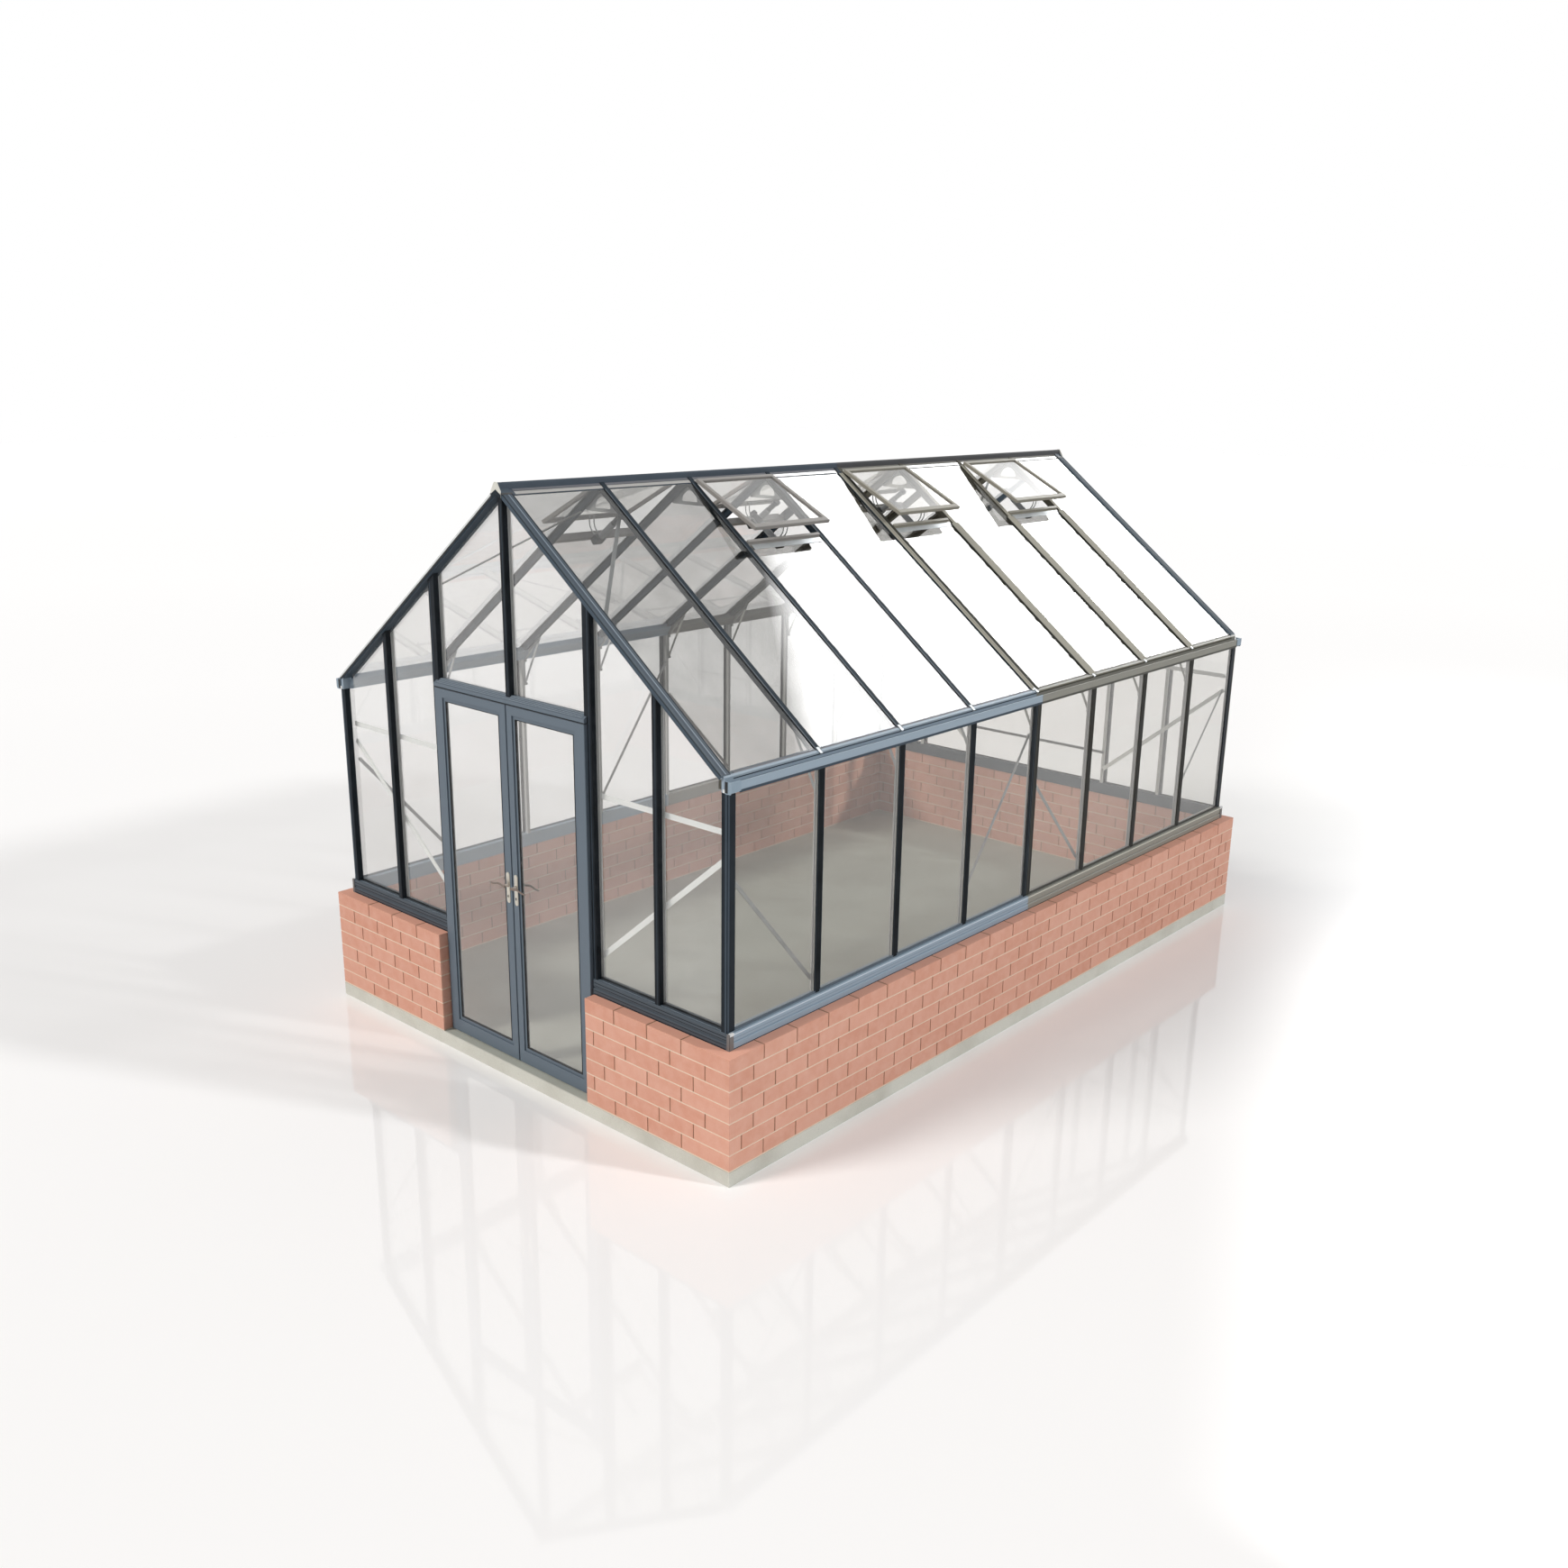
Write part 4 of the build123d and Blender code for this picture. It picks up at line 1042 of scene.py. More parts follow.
    def _apex(self, trims: TrimSet, end: int) -> None:
        """Covers the lower half of one apex cap with a dark plate of painted shade."""
        outline = [
            (-36.5, roof_height(36.5, -20.0)),
            (-9.0, roof_height(16.0, -20.0) - 5.0),
            (9.0, roof_height(16.0, -20.0) - 5.0),
            (36.5, roof_height(36.5, -20.0)),
            (36.5, roof_height(36.5, -6.0)),
            (0.0, roof_height(0.0, -10.0)),
            (-36.5, roof_height(36.5, -6.0)),
        ]
        face = end * (self.rafter_face + 4.0)
        ends = sorted((face, face + end), reverse=True)
        start, stop = Vector((0, ends[0], 0)), Vector((0, ends[1], 0))
        trims.pile(Trim.GROOVE).bar(outline, start, stop, Vector((1, 0, 0)))

    def build(self) -> None:
        """Adds every strip, gasket and line of both slopes."""
        trims = TrimSet("roof", self.coats)
        for end in (-1, 1):
            self._apex(trims, end)
        for sign in (-1, 1):
            slope = Slope(sign)
            for number, y in enumerate(bar_places()):
                if number == self.joint_number:
                    self._joint_bar(trims, slope, y)
                elif number > self.joint_number:
                    self._rear_bar(trims, slope, y)
                else:
                    self._front_bar(trims, slope, y)
            for end in (-1, 1):
                self._rafter(trims, slope, end)
            places = [-HALF_LENGTH + 36.0, *bar_places(), HALF_LENGTH - 36.0]
            for number, (low, high) in enumerate(zip(places, places[1:])):
                ys = (low + (33.0 if number == 4 else 16.0), high - (33.0 if number == 3 else 16.0))
                slope.strip(trims.pile(Trim.RIDGE_BAND), ys, (-5.2, -4.2), (14.0, 31.0))
                slope.strip(trims.pile(Trim.GROOVE), ys, (-5.2, -4.4), (31.0, 34.0))
                slope.strip(trims.pile(Trim.SHEET), ys, (-11.6, -4.0), (34.0, 54.0))
                slope.strip(trims.pile(Trim.RIDGE_BAND), ys, (-5.1, -3.6), (1849.0, 1858.5))
        trims.build()


@dataclass
class EavesTrim:
    """Dark lines of painted shade along the gutters, a light band of painted light on their upstands, and the faces of
    their end caps, the front one black as painted shade.
    """

    coats: dict[Trim, bpy.types.Material]
    lip: float = 1528.0
    base: float = 1866.0
    end: float = 2499.0

    def build(self) -> None:
        """Adds the lines and caps of both gutters."""
        trims = TrimSet("eaves", self.coats)
        for sign in (-1, 1):
            side = (sign, 1)
            for ys in ((-self.end + 56.0, -0.6), (0.6, self.end - 56.0)):
                # A dark strip across the foot of the lip: painted shadow
                trims.block(
                    Trim.LINE, (self.lip - 9.0, self.lip + 0.6), ys, (self.base + 0.4, self.base + 13.0), side
                )
                # Dark lines of painted shade behind the lip and at the foot of the upstand, and a light band of painted
                # light on the upstand
                trims.block(Trim.GROOVE, (self.lip - 7.0, self.lip - 4.0), ys, (1917.5, 1918.5), side)
                trims.block(Trim.GROOVE, (1486.0, 1486.8), ys, (1919.0, 1924.0), side)
                trims.block(Trim.COVER, (1486.0, 1486.8), ys, (1924.0, 1932.0), side)
            for end in (-1, 1):
                face = (self.end + 4.0, self.end + 5.4)
                # The black front face of each end cap is painted shade
                trims.block(Trim.GASKET, (1492.5, 1509.0), face, (1869.0, 1920.0), (sign, end))
                trims.block(Trim.PALE_CAP, (1478.0, 1492.0), (2496.0, 2503.0), (1867.0, 1882.0), (sign, end))
        trims.build()


@dataclass
class SillTrim:
    """Lines of painted shade and painted highlight on the sills, gaskets at the foot of the glass, and corner caps."""

    coats: dict[Trim, bpy.types.Material]
    sill_top: float = 728.0
    proud: float = 18.0
    drip: float = 20.0
    doorway: float = 600.0

    def _long_side(self, trims: TrimSet, sign: int) -> None:
        """Adds the lines of one long side."""
        face = HALF_WIDTH + self.proud
        for ys in ((-HALF_LENGTH + 2.0, -0.6), (0.6, HALF_LENGTH - 2.0)):
            # Two light lines of painted highlight on the nose, and a dark line of painted shade at the foot of the sill
            lines = (
                (Trim.SEAL, HALF_WIDTH - 4.9, HALF_WIDTH - 0.4, self.sill_top, self.sill_top + 11.0),
                (Trim.BRIGHT, face - 2.0, face + 0.6, 717.5, 722.5),
                (Trim.EDGE, face - 2.0, face + 0.3, 699.0, 702.5),
                (Trim.LINE, HALF_WIDTH + self.drip - 2.0, HALF_WIDTH + self.drip + 0.4, 647.5, 652.0),
            )
            for trim, x_low, x_high, z_low, z_high in lines:
                trims.block(trim, (x_low, x_high), ys, (z_low, z_high), (sign, 1))

    def _gable(self, trims: TrimSet, end: int) -> None:
        """Adds the lines of one gable, which the doorway parts at the front."""
        reach = HALF_WIDTH - 2.0
        runs = [(-reach, -self.doorway), (self.doorway, reach)] if end < 0 else [(-reach, reach)]
        face = HALF_LENGTH + self.proud
        for low, high in runs:
            # Dark lines of painted shade in the grooves and at the foot of the sill, and a light line of painted
            # highlight along its top
            lines = (
                (Trim.GASKET, HALF_LENGTH - 15.0, HALF_LENGTH - 11.0, self.sill_top, self.sill_top + 9.0),
                (Trim.EDGE, HALF_LENGTH + 4.0, HALF_LENGTH + 8.0, self.sill_top - 1.0, self.sill_top + 0.5),
                (Trim.GROOVE, face - 2.0, face + 0.4, 708.0, 712.0),
                (Trim.GROOVE, face - 2.0, face + 0.4, 693.0, 696.0),
                (Trim.GROOVE, HALF_LENGTH + self.drip - 2.0, HALF_LENGTH + self.drip + 0.4, 647.5, 654.0),
                (Trim.GROOVE, HALF_LENGTH + self.drip - 2.0, HALF_LENGTH + self.drip + 0.4, 668.0, 671.0),
            )
            for trim, y_low, y_high, z_low, z_high in lines:
                trims.block(trim, (low, high), (y_low, y_high), (z_low, z_high), (1, end))

    def _corner(self, trims: TrimSet, sign: int, end: int) -> None:
        """Caps one corner of the sill with a grey cap and a pale tip."""
        caps = (
            (Trim.CAP, (5.0, 21.2), (16.0, 21.2), (646.5, 729.5)),
            (Trim.CAP, (12.0, 21.2), (-10.0, 20.0), (646.5, 715.0)),
            (Trim.PALE_CAP, (8.0, 20.6), (-12.0, 15.0), (716.0, 730.0)),
        )
        for trim, aside, along, zs in caps:
            xs = (HALF_WIDTH + aside[0], HALF_WIDTH + aside[1])
            ys = (HALF_LENGTH + along[0], HALF_LENGTH + along[1])
            trims.block(trim, xs, ys, zs, (sign, end), 1.0)

    def build(self) -> None:
        """Adds the lines of all four sills and their corners."""
        trims = TrimSet("sills", self.coats)
        for sign in (-1, 1):
            self._long_side(trims, sign)
            self._gable(trims, sign)
            for end in (-1, 1):
                self._corner(trims, sign, end)
        trims.build()


@dataclass
class PostTrim:
    """Fine lines of painted shade and painted highlight on the corner posts, the gable bars and the joint bars."""

    coats: dict[Trim, bpy.types.Material]
    gable_face: float = 2495.0
    foot: float = 728.5
    eaves_foot: float = 1865.0
    outer_bar: float = 1043.0
    door_post: float = 593.0
    head_top: float = 2063.5

    def _gable_lines(self, trims: TrimSet, end: int) -> None:
        """Draws one fine line down each gable bar."""
        face = (self.gable_face - 1.0, self.gable_face + 0.5)
        post_line = (9.0, 12.5) if end < 0 else (3.0, 5.5)
        for place, line in ((self.outer_bar, (3.0, 5.5)), (self.door_post, post_line)):
            zs = (self.foot, roof_height(place + 20.0, -34.0))
            for sign in (-1, 1):
                trims.block(Trim.LINE, (place + line[0], place + line[1]), face, zs, (sign, end))
        base = self.head_top if end < 0 else self.foot
        trims.block(Trim.LINE, (3.0, 5.5), face, (base, roof_height(22.0, -34.0) - 20.0), (1, end))

    def _corner_lines(self, trims: TrimSet, sign: int, end: int) -> None:
        """Draws the lighter stripe, a painted highlight, that runs down the outside corner of a post."""
        zs = (self.foot, self.eaves_foot)
        face, side = (self.gable_face - 1.0, self.gable_face + 0.5), (HALF_WIDTH - 1.0, HALF_WIDTH + 0.5)
        trims.block(Trim.LINE, (HALF_WIDTH - 15.0, HALF_WIDTH - 2.5), face, zs, (sign, end))
        trims.block(Trim.LINE, side, (self.gable_face - 14.0, self.gable_face - 2.5), zs, (sign, end))

    def build(self) -> None:
        """Adds every line of the posts and bars."""
        trims = TrimSet("posts", self.coats)
        zs = (self.foot, self.eaves_foot)
        for end in (-1, 1):
            self._gable_lines(trims, end)
        for sign in (-1, 1):
            for end in (-1, 1):
                self._corner_lines(trims, sign, end)
            for y in bar_places():
                half = 32.0 if abs(y) < 1.0 else 16.0
                for low in (y - half - 6.0, y + half):
                    trims.block(Trim.GROOVE, (HALF_WIDTH - 4.8, HALF_WIDTH - 0.6), (low, low + 6.0), zs, (sign, 1))
            for y in (-17.0, -4.0, 12.0):
                trims.block(Trim.LINE, (HALF_WIDTH - 1.0, HALF_WIDTH + 0.5), (y, y + 3.0), zs, (sign, 1))
        trims.build()


@dataclass
class DoorTrim:
    """Gaskets of the two leaves, and the ridges and brush of the head."""

    coats: dict[Trim, bpy.types.Material]
    face: float = -2513.0
    pane_x: tuple[float, float] = (64.0, 503.0)
    pane_z: tuple[float, float] = (176.0, 1953.0)
    gasket: float = 3.0

    def _leaf(self, body: Body, sign: int) -> None:
        """Adds the gaskets of one leaf."""
        trims = TrimSet(body.value, self.coats, body)
        x_low, x_high = self.pane_x
        z_low, z_high = self.pane_z
        g = self.gasket
        for y_low, y_high in ((-2508.0, -2502.2), (-2497.8, -2492.0)):
            sides = (
                (x_low, x_low + g, z_low, z_high),
                (x_high - g, x_high, z_low, z_high),
                (x_low, x_high, z_low, z_low + g),
                (x_low, x_high, z_high - g, z_high),
            )
            for a, b, c, d in sides:
                trims.block(Trim.GASKET, (a, b), (y_low, y_high), (c, d), (sign, 1))
        trims.build()

    def _head(self) -> None:
        """Adds light lines of painted highlight on the ridges of the head, the brush above the leaves, and a dark line
        of painted shadow above the brush.
        """
        trims = TrimSet("door_head_trim", self.coats)
        run = 30.0 / 4
        for step in range(1, 5):
            y = self.face + run * step - 2.6
            z = 2043.0 + 5.0 * step
            trims.block(Trim.COVER, (-566.0, 566.0), (y, y + 1.8), (z - 1.6, z + 0.4))
        brush, shadow = (self.face + 1.0, self.face + 70.0), (self.face - 0.6, self.face + 1.0)
        trims.block(Trim.GASKET, (-585.0, 585.0), brush, (2018.6, 2022.4))
        trims.block(Trim.GROOVE, (-586.0, 586.0), shadow, (2022.2, 2025.0))
        trims.build()

    def build(self) -> None:
        """Adds the trims of both leaves and of the head."""
        self._leaf(Body.DOOR_LEFT, -1)
        self._leaf(Body.DOOR_RIGHT, 1)
        self._head()


@dataclass
class HandleSet:
    """Waved levers on long plates with a keyhole, on both faces of both leaves."""

    finish: bpy.types.Material
    dark: bpy.types.Material
    plate_x: float = 32.0
    plate_z: float = 1053.0
    lever_z: float = 1068.0
    key_z: float = 1008.0
    half_width: float = 14.0
    half_height: float = 83.5
    plate_depth: float = 4.0
    reach: float = 32.0
    leaf_faces: tuple[float, float] = (-2513.0, -2487.0)
    line: tuple[tuple[float, float], ...] = ((-9.0, 0.0), (14.0, 1.0), (45.0, 5.0), (80.0, -3.0), (108.0, -5.0))
    steps: int = 6
    sides: int = 14
    thick: tuple[float, float] = (7.0, 4.4)

    def _curve(self) -> Outline:
        """Draws a smooth line through the lever's places."""
        places = [self.line[0], *self.line, self.line[-1]]
        out: Outline = []
        for a, b, c, d in zip(places, places[1:], places[2:], places[3:]):
            for step in range(self.steps):
                t = step / self.steps
                out.append(
                    tuple(
                        0.5
                        * (
                            2 * b[k]
                            + (c[k] - a[k]) * t
                            + (2 * a[k] - 5 * b[k] + 4 * c[k] - d[k]) * t**2
                            + (3 * b[k] - a[k] - 3 * c[k] + d[k]) * t**3
                        )
                        for k in (0, 1)
                    )
                )
        return [*out, self.line[-1]]

    def _lever(self, pile: MeshPile, sign: int, depth: float) -> None:
        """Sweeps the lever, which grows thinner towards its rounded tip.

        Args:
            pile: where the lever goes.
            sign: the side of the leaf.
            depth: the Y of the lever's middle.
        """
        curve = self._curve()
        rings = [(curve[0], 0.55, -1.6), *((point, 1.0, 0.0) for point in curve), (curve[-1], 0.5, 1.8)]
        verts = []
        for number, ((u, v), scale, push) in enumerate(rings):
            share = number / (len(rings) - 1)
            half = (self.thick[0] + (self.thick[1] - self.thick[0]) * share) * scale
            for i in range(self.sides):
                angle = 2 * math.pi * i / self.sides
                x = sign * (self.plate_x + u + push)
                y = depth + 0.8 * half * math.cos(angle)
                verts.append(Vector((x, y, self.lever_z + v + half * math.sin(angle))))
        faces = ringed_faces(len(rings), self.sides)
        pile.add(verts, faces if sign > 0 else [face[::-1] for face in faces], 1.0, True)

    def _face(self, metal: MeshPile, holes: MeshPile, sign: int, face: float, way: float) -> None:
        """Makes the plate, rose, neck, lever and keyhole of one face.

        Args:
            metal: where the metal goes.
            holes: where the dark keyhole goes.
            sign: the side of the leaf.
            face: the Y of the leaf's face.
            way: the sign of Y that leads away from the leaf.
        """
        straight = self.half_height - self.half_width
        outline: Outline = []
        for centre, first in ((straight, 0.0), (-straight, math.pi)):
            for step in range(13):
                angle = first + math.pi * step / 12
                outline.append((self.half_width * math.cos(angle), centre + self.half_width * math.sin(angle)))
        foot = Vector((sign * self.plate_x, face, self.plate_z))
        out = Vector((0, way, 0))
        across = Vector((1, 0, 0))
        metal.bar(outline, foot, foot + out * (self.plate_depth - 1.2), across, 0.0)
        inner = [(0.86 * u, 0.98 * v) for u, v in outline]
        metal.bar(inner, foot + out * 0.5, foot + out * self.plate_depth, across, 0.0)
        hub = Vector((sign * self.plate_x, face, self.lever_z)) + out * self.plate_depth
        rose = [(11.0, 0.0), (11.0, 3.0), (9.6, 4.4), (7.4, 6.0), (7.0, self.reach - self.plate_depth + 2.0)]
        metal.turned(rose, hub, out, 28, 0.7)
        self._lever(metal, sign, face + way * self.reach)
        barrel = Vector((sign * self.plate_x, face, self.key_z)) + out * (self.plate_depth - 0.3)
        metal.turned([(8.0, 0.0), (8.0, 1.0), (7.0, 1.8)], barrel, out, 24, 0.35)
        holes.turned([(4.4, 0.0), (4.4, 2.2)], barrel, out, 16, 0.5, False)
        slot = barrel + Vector((0, 0, -9.0))
        tip = slot.y + 2.1 * way
        holes.block((slot.x - 2.0, min(slot.y, tip), slot.z), (slot.x + 2.0, max(slot.y, tip), slot.z + 8.0))

    def build(self) -> None:
        """Builds the handles, which stand for the plain ones of the frame."""
        for body, sign in ((Body.DOOR_LEFT, -1), (Body.DOOR_RIGHT, 1)):
            metal, holes = MeshPile(), MeshPile()
            self._face(metal, holes, sign, self.leaf_faces[0], -1.0)
            self._face(metal, holes, sign, self.leaf_faces[1], 1.0)
            made = metal.build(f"{body.value}_lever_set", self.finish, body, Slot.HANDLE_STEEL)
            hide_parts(f"{body.value}_handle")
            holes.build(f"{body.value}_keyholes", self.dark, body, Slot.OPENER_BLACK)


@dataclass
class Fixings:
    """Faces of painted light on the gable braces, bolts of the braces, and the parts of the vent openers."""

    coats: dict[Trim, bpy.types.Material]
    strap_y: float = 2438.7
    strap_x: float = 1461.0
    tie: float = 1660.0
    bolt: float = 6.5
    vent_hinge: float = 58.0
    vent_length: float = 486.0
    vent_fall_deg: float = 27.2
    cill: float = 520.0

    def _bolt(self, trims: TrimSet, place: Vector, axis: Vector) -> None:
        """Adds a washer with a hexagon nut on it."""
        trims.pile(Trim.FIXING).turned([(self.bolt + 2.5, 0.0), (self.bolt + 2.5, 1.4)], place, axis, 20)
        nut = [(self.bolt, 1.4), (self.bolt, 5.6), (self.bolt - 1.2, 6.4)]
        trims.pile(Trim.FIXING).turned(nut, place, axis, 6, 0.5, False)
        trims.pile(Trim.FIXING).turned([(2.8, 6.4), (2.8, 9.0)], place, axis, 12)

    def _gable_straps(self, trims: TrimSet) -> None:
        """Widens the gable straps with faces of painted light, and bolts them."""
        spans = (((597.0, self.tie), (1468.0, self.tie)), ((1468.0, 1561.0), (597.0, 832.0)))
        for end in (-1, 1):
            for sign in (-1, 1):
                for start, stop in spans:
                    a = Vector((sign * start[0], end * self.strap_y, start[1]))
                    b = Vector((sign * stop[0], end * self.strap_y, stop[1]))
                    inner = [(0.0, -14.0), (-4.2 * end, -14.0), (-4.2 * end, 14.0), (0.0, 14.0)]
                    outline = inner if end > 0 else inner[::-1]
                    trims.pile(Trim.STRAP).bar(outline[::-1], a, b, Vector((0, 1, 0)))
                    for place in (a, b):
                        self._bolt(trims, place + Vector((0, -4.2 * end, 0)), Vector((0, -end, 0)))

    def _wall_bolts(self, trims: TrimSet) -> None:
        """Bolts the braces of the long walls and the knees at the eaves."""
        ends = (
            (-2434.0, 1455.0),
            (-1868.0, 793.0),
            (-14.0, 1680.0),
            (-612.0, 850.0),
            (14.0, 1450.0),
            (612.0, 806.0),
            (2434.0, 1560.0),
            (1868.0, 935.0),
        )
        for sign in (-1, 1):
            for y, z in ends:
                self._bolt(trims, Vector((sign * (self.strap_x - 3.0), y, z)), Vector((-sign, 0, 0)))
            for y in bar_places():
                for x, z in ((1450.0, 1856.0), (1450.0, 1712.0), (1330.0, roof_height(1330.0, -48.0))):
                    self._bolt(trims, Vector((sign * x, y + 15.0, z)), Vector((0, 1, 0)))
        for y in bar_places():
            for x in (-118.0, -60.0, 60.0, 118.0):
                self._bolt(trims, Vector((x, y + 15.0, roof_height(abs(x), -34.0))), Vector((0, 1, 0)))

    def _vent(self, trims: TrimSet, sign: int, bay: int) -> None:
        """Adds the two bent arms, the collar and the cap of one opener."""
        slope = Slope(sign)
        middle = -HALF_LENGTH + BAY * (bay + 0.5)
        fall = math.radians(self.vent_fall_deg)
        hinge = slope.at(self.vent_hinge, 3.0, middle)
        rail = hinge + Vector((sign * math.cos(fall), 0, -math.sin(fall))) * (self.vent_length - 60.0)
        foot = slope.at(self.cill - 24.0, -48.0, middle)
        for aside in (-16.0, 16.0):
            last = foot + Vector((0, aside, 0))
            for step in range(1, 9):
                t = step / 8
                bow = math.sin(math.pi * t) * 26.0
                here = foot.lerp(rail, t) + Vector((sign * bow, aside, -bow * 0.4))
                axis = here - last
                trims.pile(Trim.FIXING).turned([(3.6, 0.0), (3.6, axis.length + 1.5)], last, axis, 8)
                last = here
        down = slope.at(1.0, 0.0, 0.0) - slope.at(0.0, 0.0, 0.0)
        start = slope.at(self.cill - 230.0, -50.0, middle)
        tube = [(17.0, 70.0), (18.2, 72.0), (18.2, 196.0), (17.0, 198.0)]
        trims.pile(Trim.TUBE).turned(tube, start, down, 28)
        for ring in (18.0, 40.0):
            trims.pile(Trim.GASKET).turned([(16.6, ring), (16.6, ring + 6.0)], start, down, 28)

    def build(self) -> None:
        """Adds the faces, bolts and opener parts."""
        trims = TrimSet("fixings", self.coats)
        self._gable_straps(trims)
        self._wall_bolts(trims)
        for sign, bays in ((1, (2, 4, 6)), (-1, (1, 3, 5))):
            for bay in bays:
                self._vent(trims, sign, bay)
        trims.build()


@dataclass
class FrameDress:
    """Gives the carried-over frame its finishes."""

    nodes: dict[str, bpy.types.Object]

    def dress(self, finish: bpy.types.Material, *names: str) -> None:
        """Puts one finish on several nodes.

        Args:
            finish: the material.
            names: the nodes.
        """
        for name in names:
            self.nodes[name].data.materials.clear()
            self.nodes[name].data.materials.append(finish)
        LOG.info("%s on %s", finish.name, ", ".join(names))

    def build(self) -> None:
        """Dresses every node that stays in sight."""
        # The pale colours of the legs behind the glass are painted glare
        gable = PowderCoat("powder_coat_gable", "#14191e", gloss=0.12, glass_glare_colour="#c4c6c5")
        bars = PowderCoat(
            "powder_coat_bars", "#0d1114", "#2b2a26", gloss=0.05, glass_glare_colour="#b9bab8", glass_axis="X", glass_line=1495.5
        )
        clear = FloatGlass("float_glass_clear", "#fdfdfd", "#f7f7f6", 1.52, 0.94)
        clear_panes = "glass_front glass_left glass_back glass_roof_left door_left_glass door_right_glass"
        finishes = (
            (gable, "bars_front bars_back door_posts"),
            (bars, "bars_left bars_right"),
            (PowderCoat("powder_coat_inner_plates", "#a9acad", "#a3a39c", gloss=0.15), "eaves_knees ridge_gussets"),
            (PowderCoat("powder_coat_roof_bars", "#2b343c", "#55534a", 0.6, 0.03), "roof_bars_left roof_bars_right"),
            (PowderCoat("powder_coat_vents", "#8f8c88", "#8e8b80", gloss=0.15), "vent_frames vent_cills"),
            (PowderCoat("powder_coat_rafters", "#414d58", gloss=0.12), "gable_rafters"),
            (PowderCoat("powder_coat_ridge", "#454e58", "#48484a", gloss=0.12), "ridge"),
            (PowderCoat("powder_coat_corner", "#1b2127", gloss=0.08), "corner_posts"),
            # The long sills and the gutters are much lighter than the gable sills: painted sheen on the long sides,
            # painted shade on the gables
            (PowderCoat("powder_coat_sill_painted_sheen", "#90a1b0", "#8b8a82", gloss=0.2), "sill_left sill_right"),
            (PowderCoat("powder_coat_gable_sill_painted_shade", "#485159", gloss=0.2), "sill_front sill_back threshold"),
            (PowderCoat("powder_coat_gutter_painted_sheen", "#92a1ae", "#86857d", gloss=0.15), "gutter_left gutter_right"),
            (PowderCoat("powder_coat_leaf", "#5f6b76"), "door_head door_left_frame door_right_frame"),
            (Concrete(), "slab"),
            (clear, clear_panes),
            # The right wall, the vents and most of all the right roof slope get greyer glass than the rest: painted
            # shade
            (FloatGlass("float_glass_wall_painted_shade", "#f1f0ed", "#d6d6d6", 1.5, 0.96), "glass_right vent_glass"),
            (FloatGlass("float_glass_roof_painted_shade", "#c3c3c1", "#d0d0d0", 1.5), "glass_roof_right"),
            # The straps are darker than the clips: painted shade on the straps of the long walls
            (BareMetal("painted_shade_strap_aluminium", "#a4a8aa", 0.5), "bracing_straps"),
            (BareMetal("mill_aluminium", "#b9bdbf", 0.55), "glazing_clips vent_flashings"),
            (MouldedPlastic("moulded_caps", "#8496a4", 0.45, "#cfcfc7"), "end_caps"),
            (MouldedPlastic("black_nylon", "#1d1f21", 0.42), "vent_openers"),
        )
        for finish, names in finishes:
            self.dress(finish.material(), *names.split())


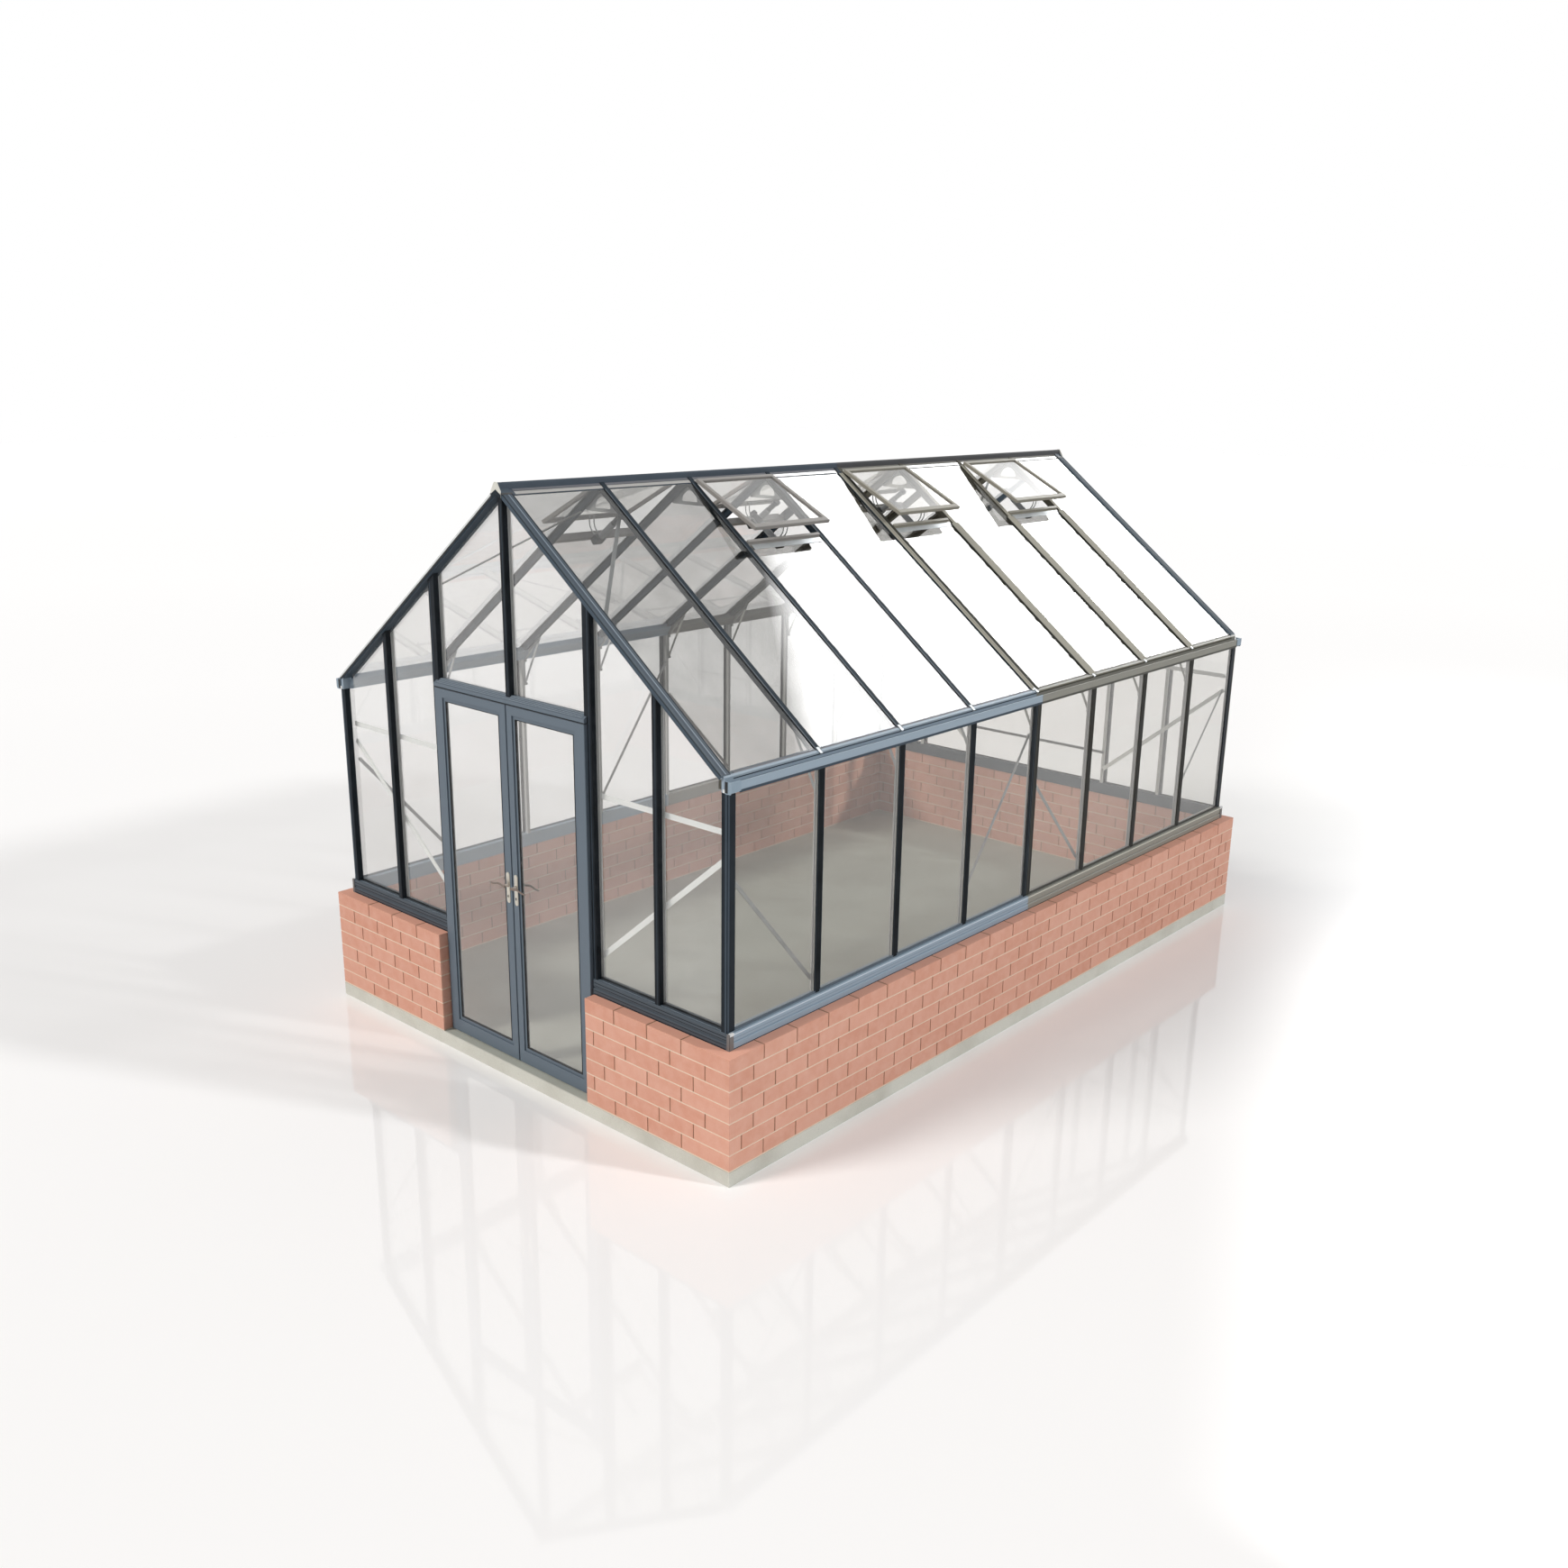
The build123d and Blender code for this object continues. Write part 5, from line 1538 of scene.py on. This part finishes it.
@dataclass
class Studio:
    """Floor, soft lamps, white surroundings and the camera."""

    eye: Point = (5.676, -6.866, 3.642)
    heading_deg: float = 41.08
    tilt_deg: float = 16.68
    roll_deg: float = 0.94
    focal_px: float = 1617.0
    picture_px: float = 1740.0
    principal_px: tuple[float, float] = (877.9, 890.1)
    sensor_mm: float = 36.0
    floor_size: float = 60.0
    ambient: float = 0.36
    panel_m: tuple[float, float, float, float, float] = (8.0, 59.5, 2.5, 24.0, 60.0)
    panel_fade_m: float = 17.0
    panel_strength: float = 11.0

    def _camera(self) -> None:
        """Sets the camera where the picture was taken from."""
        az, el, roll = (math.radians(a) for a in (self.heading_deg, self.tilt_deg, self.roll_deg))
        ahead = Vector((-math.sin(az) * math.cos(el), math.cos(az) * math.cos(el), -math.sin(el)))
        right = Vector((math.cos(az), math.sin(az), 0.0))
        up = right.cross(ahead)
        right_rolled = right * math.cos(roll) + up * math.sin(roll)
        up_rolled = up * math.cos(roll) - right * math.sin(roll)
        lens = bpy.data.cameras.new("picture_camera")
        lens.sensor_width = self.sensor_mm
        lens.lens = self.sensor_mm * self.focal_px / self.picture_px
        lens.shift_x = (self.picture_px / 2 - self.principal_px[0]) / self.picture_px
        lens.shift_y = (self.principal_px[1] - self.picture_px / 2) / self.picture_px
        camera = bpy.data.objects.new("picture_camera", lens)
        turn = Matrix((right_rolled, up_rolled, -ahead)).transposed()
        camera.matrix_world = Matrix.Translation(self.eye) @ turn.to_4x4()
        bpy.context.scene.collection.objects.link(camera)
        bpy.context.scene.camera = camera

    def _floor(self) -> None:
        """Lays a pale polished floor that keeps the shadow and mirrors faintly."""
        mesh = bpy.data.meshes.new("studio_floor")
        s = self.floor_size
        mesh.from_pydata([(-s, -s, 0.0), (s, -s, 0.0), (s, s, 0.0), (-s, s, 0.0)], [], [(0, 1, 2, 3)])
        floor = bpy.data.objects.new("studio_floor", mesh)
        material, tree = new_material("polished_white_floor")
        path = add_node(tree, "ShaderNodeLightPath")
        settings = {
            "Base Color": linear("#f8f8f8"),
            "Roughness": 0.04,
            "IOR": 1.5,
            "Specular IOR Level": 0.5,
            "Emission Color": (1.0, 1.0, 1.0, 1.0),
        }
        seen = spread(tree, path.outputs["Is Camera Ray"], (0.0, 1.0), (0.0, 0.055))
        close(tree, add_node(tree, "ShaderNodeBsdfPrincipled", settings, {"Emission Strength": seen}))
        mesh.materials.append(material)
        bpy.context.scene.collection.objects.link(floor)

    def _world(self) -> None:
        """Surrounds the object with white that lights it at a plain level."""
        world = bpy.data.worlds.new("white_studio")
        world.use_nodes = True
        tree = world.node_tree
        tree.nodes.clear()
        path = add_node(tree, "ShaderNodeLightPath")
        looks = add_node(
            tree,
            "ShaderNodeMath",
            {"operation": "MAXIMUM"},
            {0: path.outputs["Is Camera Ray"], 1: path.outputs["Is Glossy Ray"]},
        )
        looks = add_node(
            tree,
            "ShaderNodeMath",
            {"operation": "MAXIMUM"},
            {0: looks.outputs[0], 1: path.outputs["Is Transmission Ray"]},
        )
        strength = spread(tree, looks.outputs[0], (0.0, 1.0), (self.ambient, 1.0))
        back = add_node(tree, "ShaderNodeBackground", {"Color": (1.0, 1.0, 1.0, 1.0)}, {"Strength": strength})
        add_node(tree, "ShaderNodeOutputWorld", None, {"Surface": back.outputs[0]})
        bpy.context.scene.world = world

    def _sun(self, name: str, towards: Vector, strength: float, spread_deg: float, colour: str) -> None:
        """Hangs one far lamp that lights the whole scene evenly.

        Args:
            name: the lamp's name.
            towards: the direction from the object to the lamp.
            strength: its power.
            spread_deg: how wide it looks, which softens its shadows.
            colour: its colour as a hex code.
        """
        light = bpy.data.lights.new(name, "SUN")
        light.energy = strength
        light.angle = math.radians(spread_deg)
        light.color = linear(colour)[:3]
        lamp = bpy.data.objects.new(name, light)
        lamp.rotation_euler = towards.to_track_quat("Z", "Y").to_euler()
        lamp.visible_glossy = False
        lamp.visible_transmission = False
        bpy.context.scene.collection.objects.link(lamp)

    def _mirror_panel(self) -> None:
        """Stands a bright panel far behind, which only the glossy faces mirror."""
        low, high, soft, half, far = self.panel_m
        mesh = bpy.data.meshes.new("mirror_panel")
        mesh.from_pydata(
            [(-half, far, low), (half, far, low), (half, far, high), (-half, far, high)], [], [(0, 1, 2, 3)]
        )
        panel = bpy.data.objects.new("mirror_panel", mesh)
        material, tree = new_material("lit_panel")
        apart = add_node(tree, "ShaderNodeSeparateXYZ", None, {0: place_of(tree)})
        top = spread(tree, apart.outputs["Z"], (high - soft, high), (self.panel_strength, 0.0))
        foot = spread(tree, apart.outputs["Z"], (low, low + self.panel_fade_m), (0.0, 1.0))
        aside = add_node(tree, "ShaderNodeMath", {"operation": "ABSOLUTE"}, {0: apart.outputs["X"]})
        sides = spread(tree, aside.outputs[0], (half - self.panel_fade_m, half), (1.0, 0.0))
        fade = add_node(tree, "ShaderNodeMath", {"operation": "MULTIPLY"}, {0: foot, 1: sides})
        fade = add_node(tree, "ShaderNodeMath", {"operation": "POWER", 1: 1.6}, {0: fade.outputs[0]})
        glow = add_node(tree, "ShaderNodeMath", {"operation": "MULTIPLY"}, {0: fade.outputs[0], 1: top})
        added = add_node(tree, "ShaderNodeEmission", None, {"Strength": glow.outputs[0]})
        clear = add_node(tree, "ShaderNodeBsdfTransparent")
        close(tree, add_node(tree, "ShaderNodeAddShader", None, {0: added.outputs[0], 1: clear.outputs[0]}))
        mesh.materials.append(material)
        bpy.context.scene.collection.objects.link(panel)
        panel.visible_camera = False
        panel.visible_diffuse = False
        panel.visible_transmission = False
        panel.visible_shadow = False

    def build(self) -> None:
        """Sets up the whole studio."""
        self._camera()
        self._world()
        self._floor()
        self._sun("side_lamp", Vector((0.82, 0.378, 0.434)), 1.5, 4.0, "#ffffff")
        self._sun("gable_lamp", Vector((-0.35, -0.75, 0.56)), 2.2, 18.0, "#fffaf6")
        self._mirror_panel()
        bpy.context.scene.view_settings.view_transform = "Standard"
        LOG.info("studio ready")


def main() -> None:
    """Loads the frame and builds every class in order."""
    logging.basicConfig(level=logging.INFO, format="%(name)s: %(message)s")
    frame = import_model()
    Studio().build()
    FrameDress(frame["nodes"]).build()
    brick = FacingBrick().material()
    bed = Mortar("pale_bed_mortar", "#e2cdb9", "#cbb39d").material()
    # The upright joints are darker than the level ones: painted shade in their recess
    core = Mortar("painted_shade_core_mortar", "#a9876f", "#8b6d5a").material()
    Brickwork().build(brick, bed, core)
    coats = {trim: trim.value.material() for trim in Trim}
    steel = BareMetal("satin_steel", "#e3ded2", 0.34, worn="#a1988f", toned="#8a7b72").material()
    HandleSet(steel, coats[Trim.GASKET]).build()
    for part in (RoofTrim(coats), EavesTrim(coats), SillTrim(coats), PostTrim(coats), DoorTrim(coats), Fixings(coats)):
        part.build()


if __name__ == "__main__":
    main()
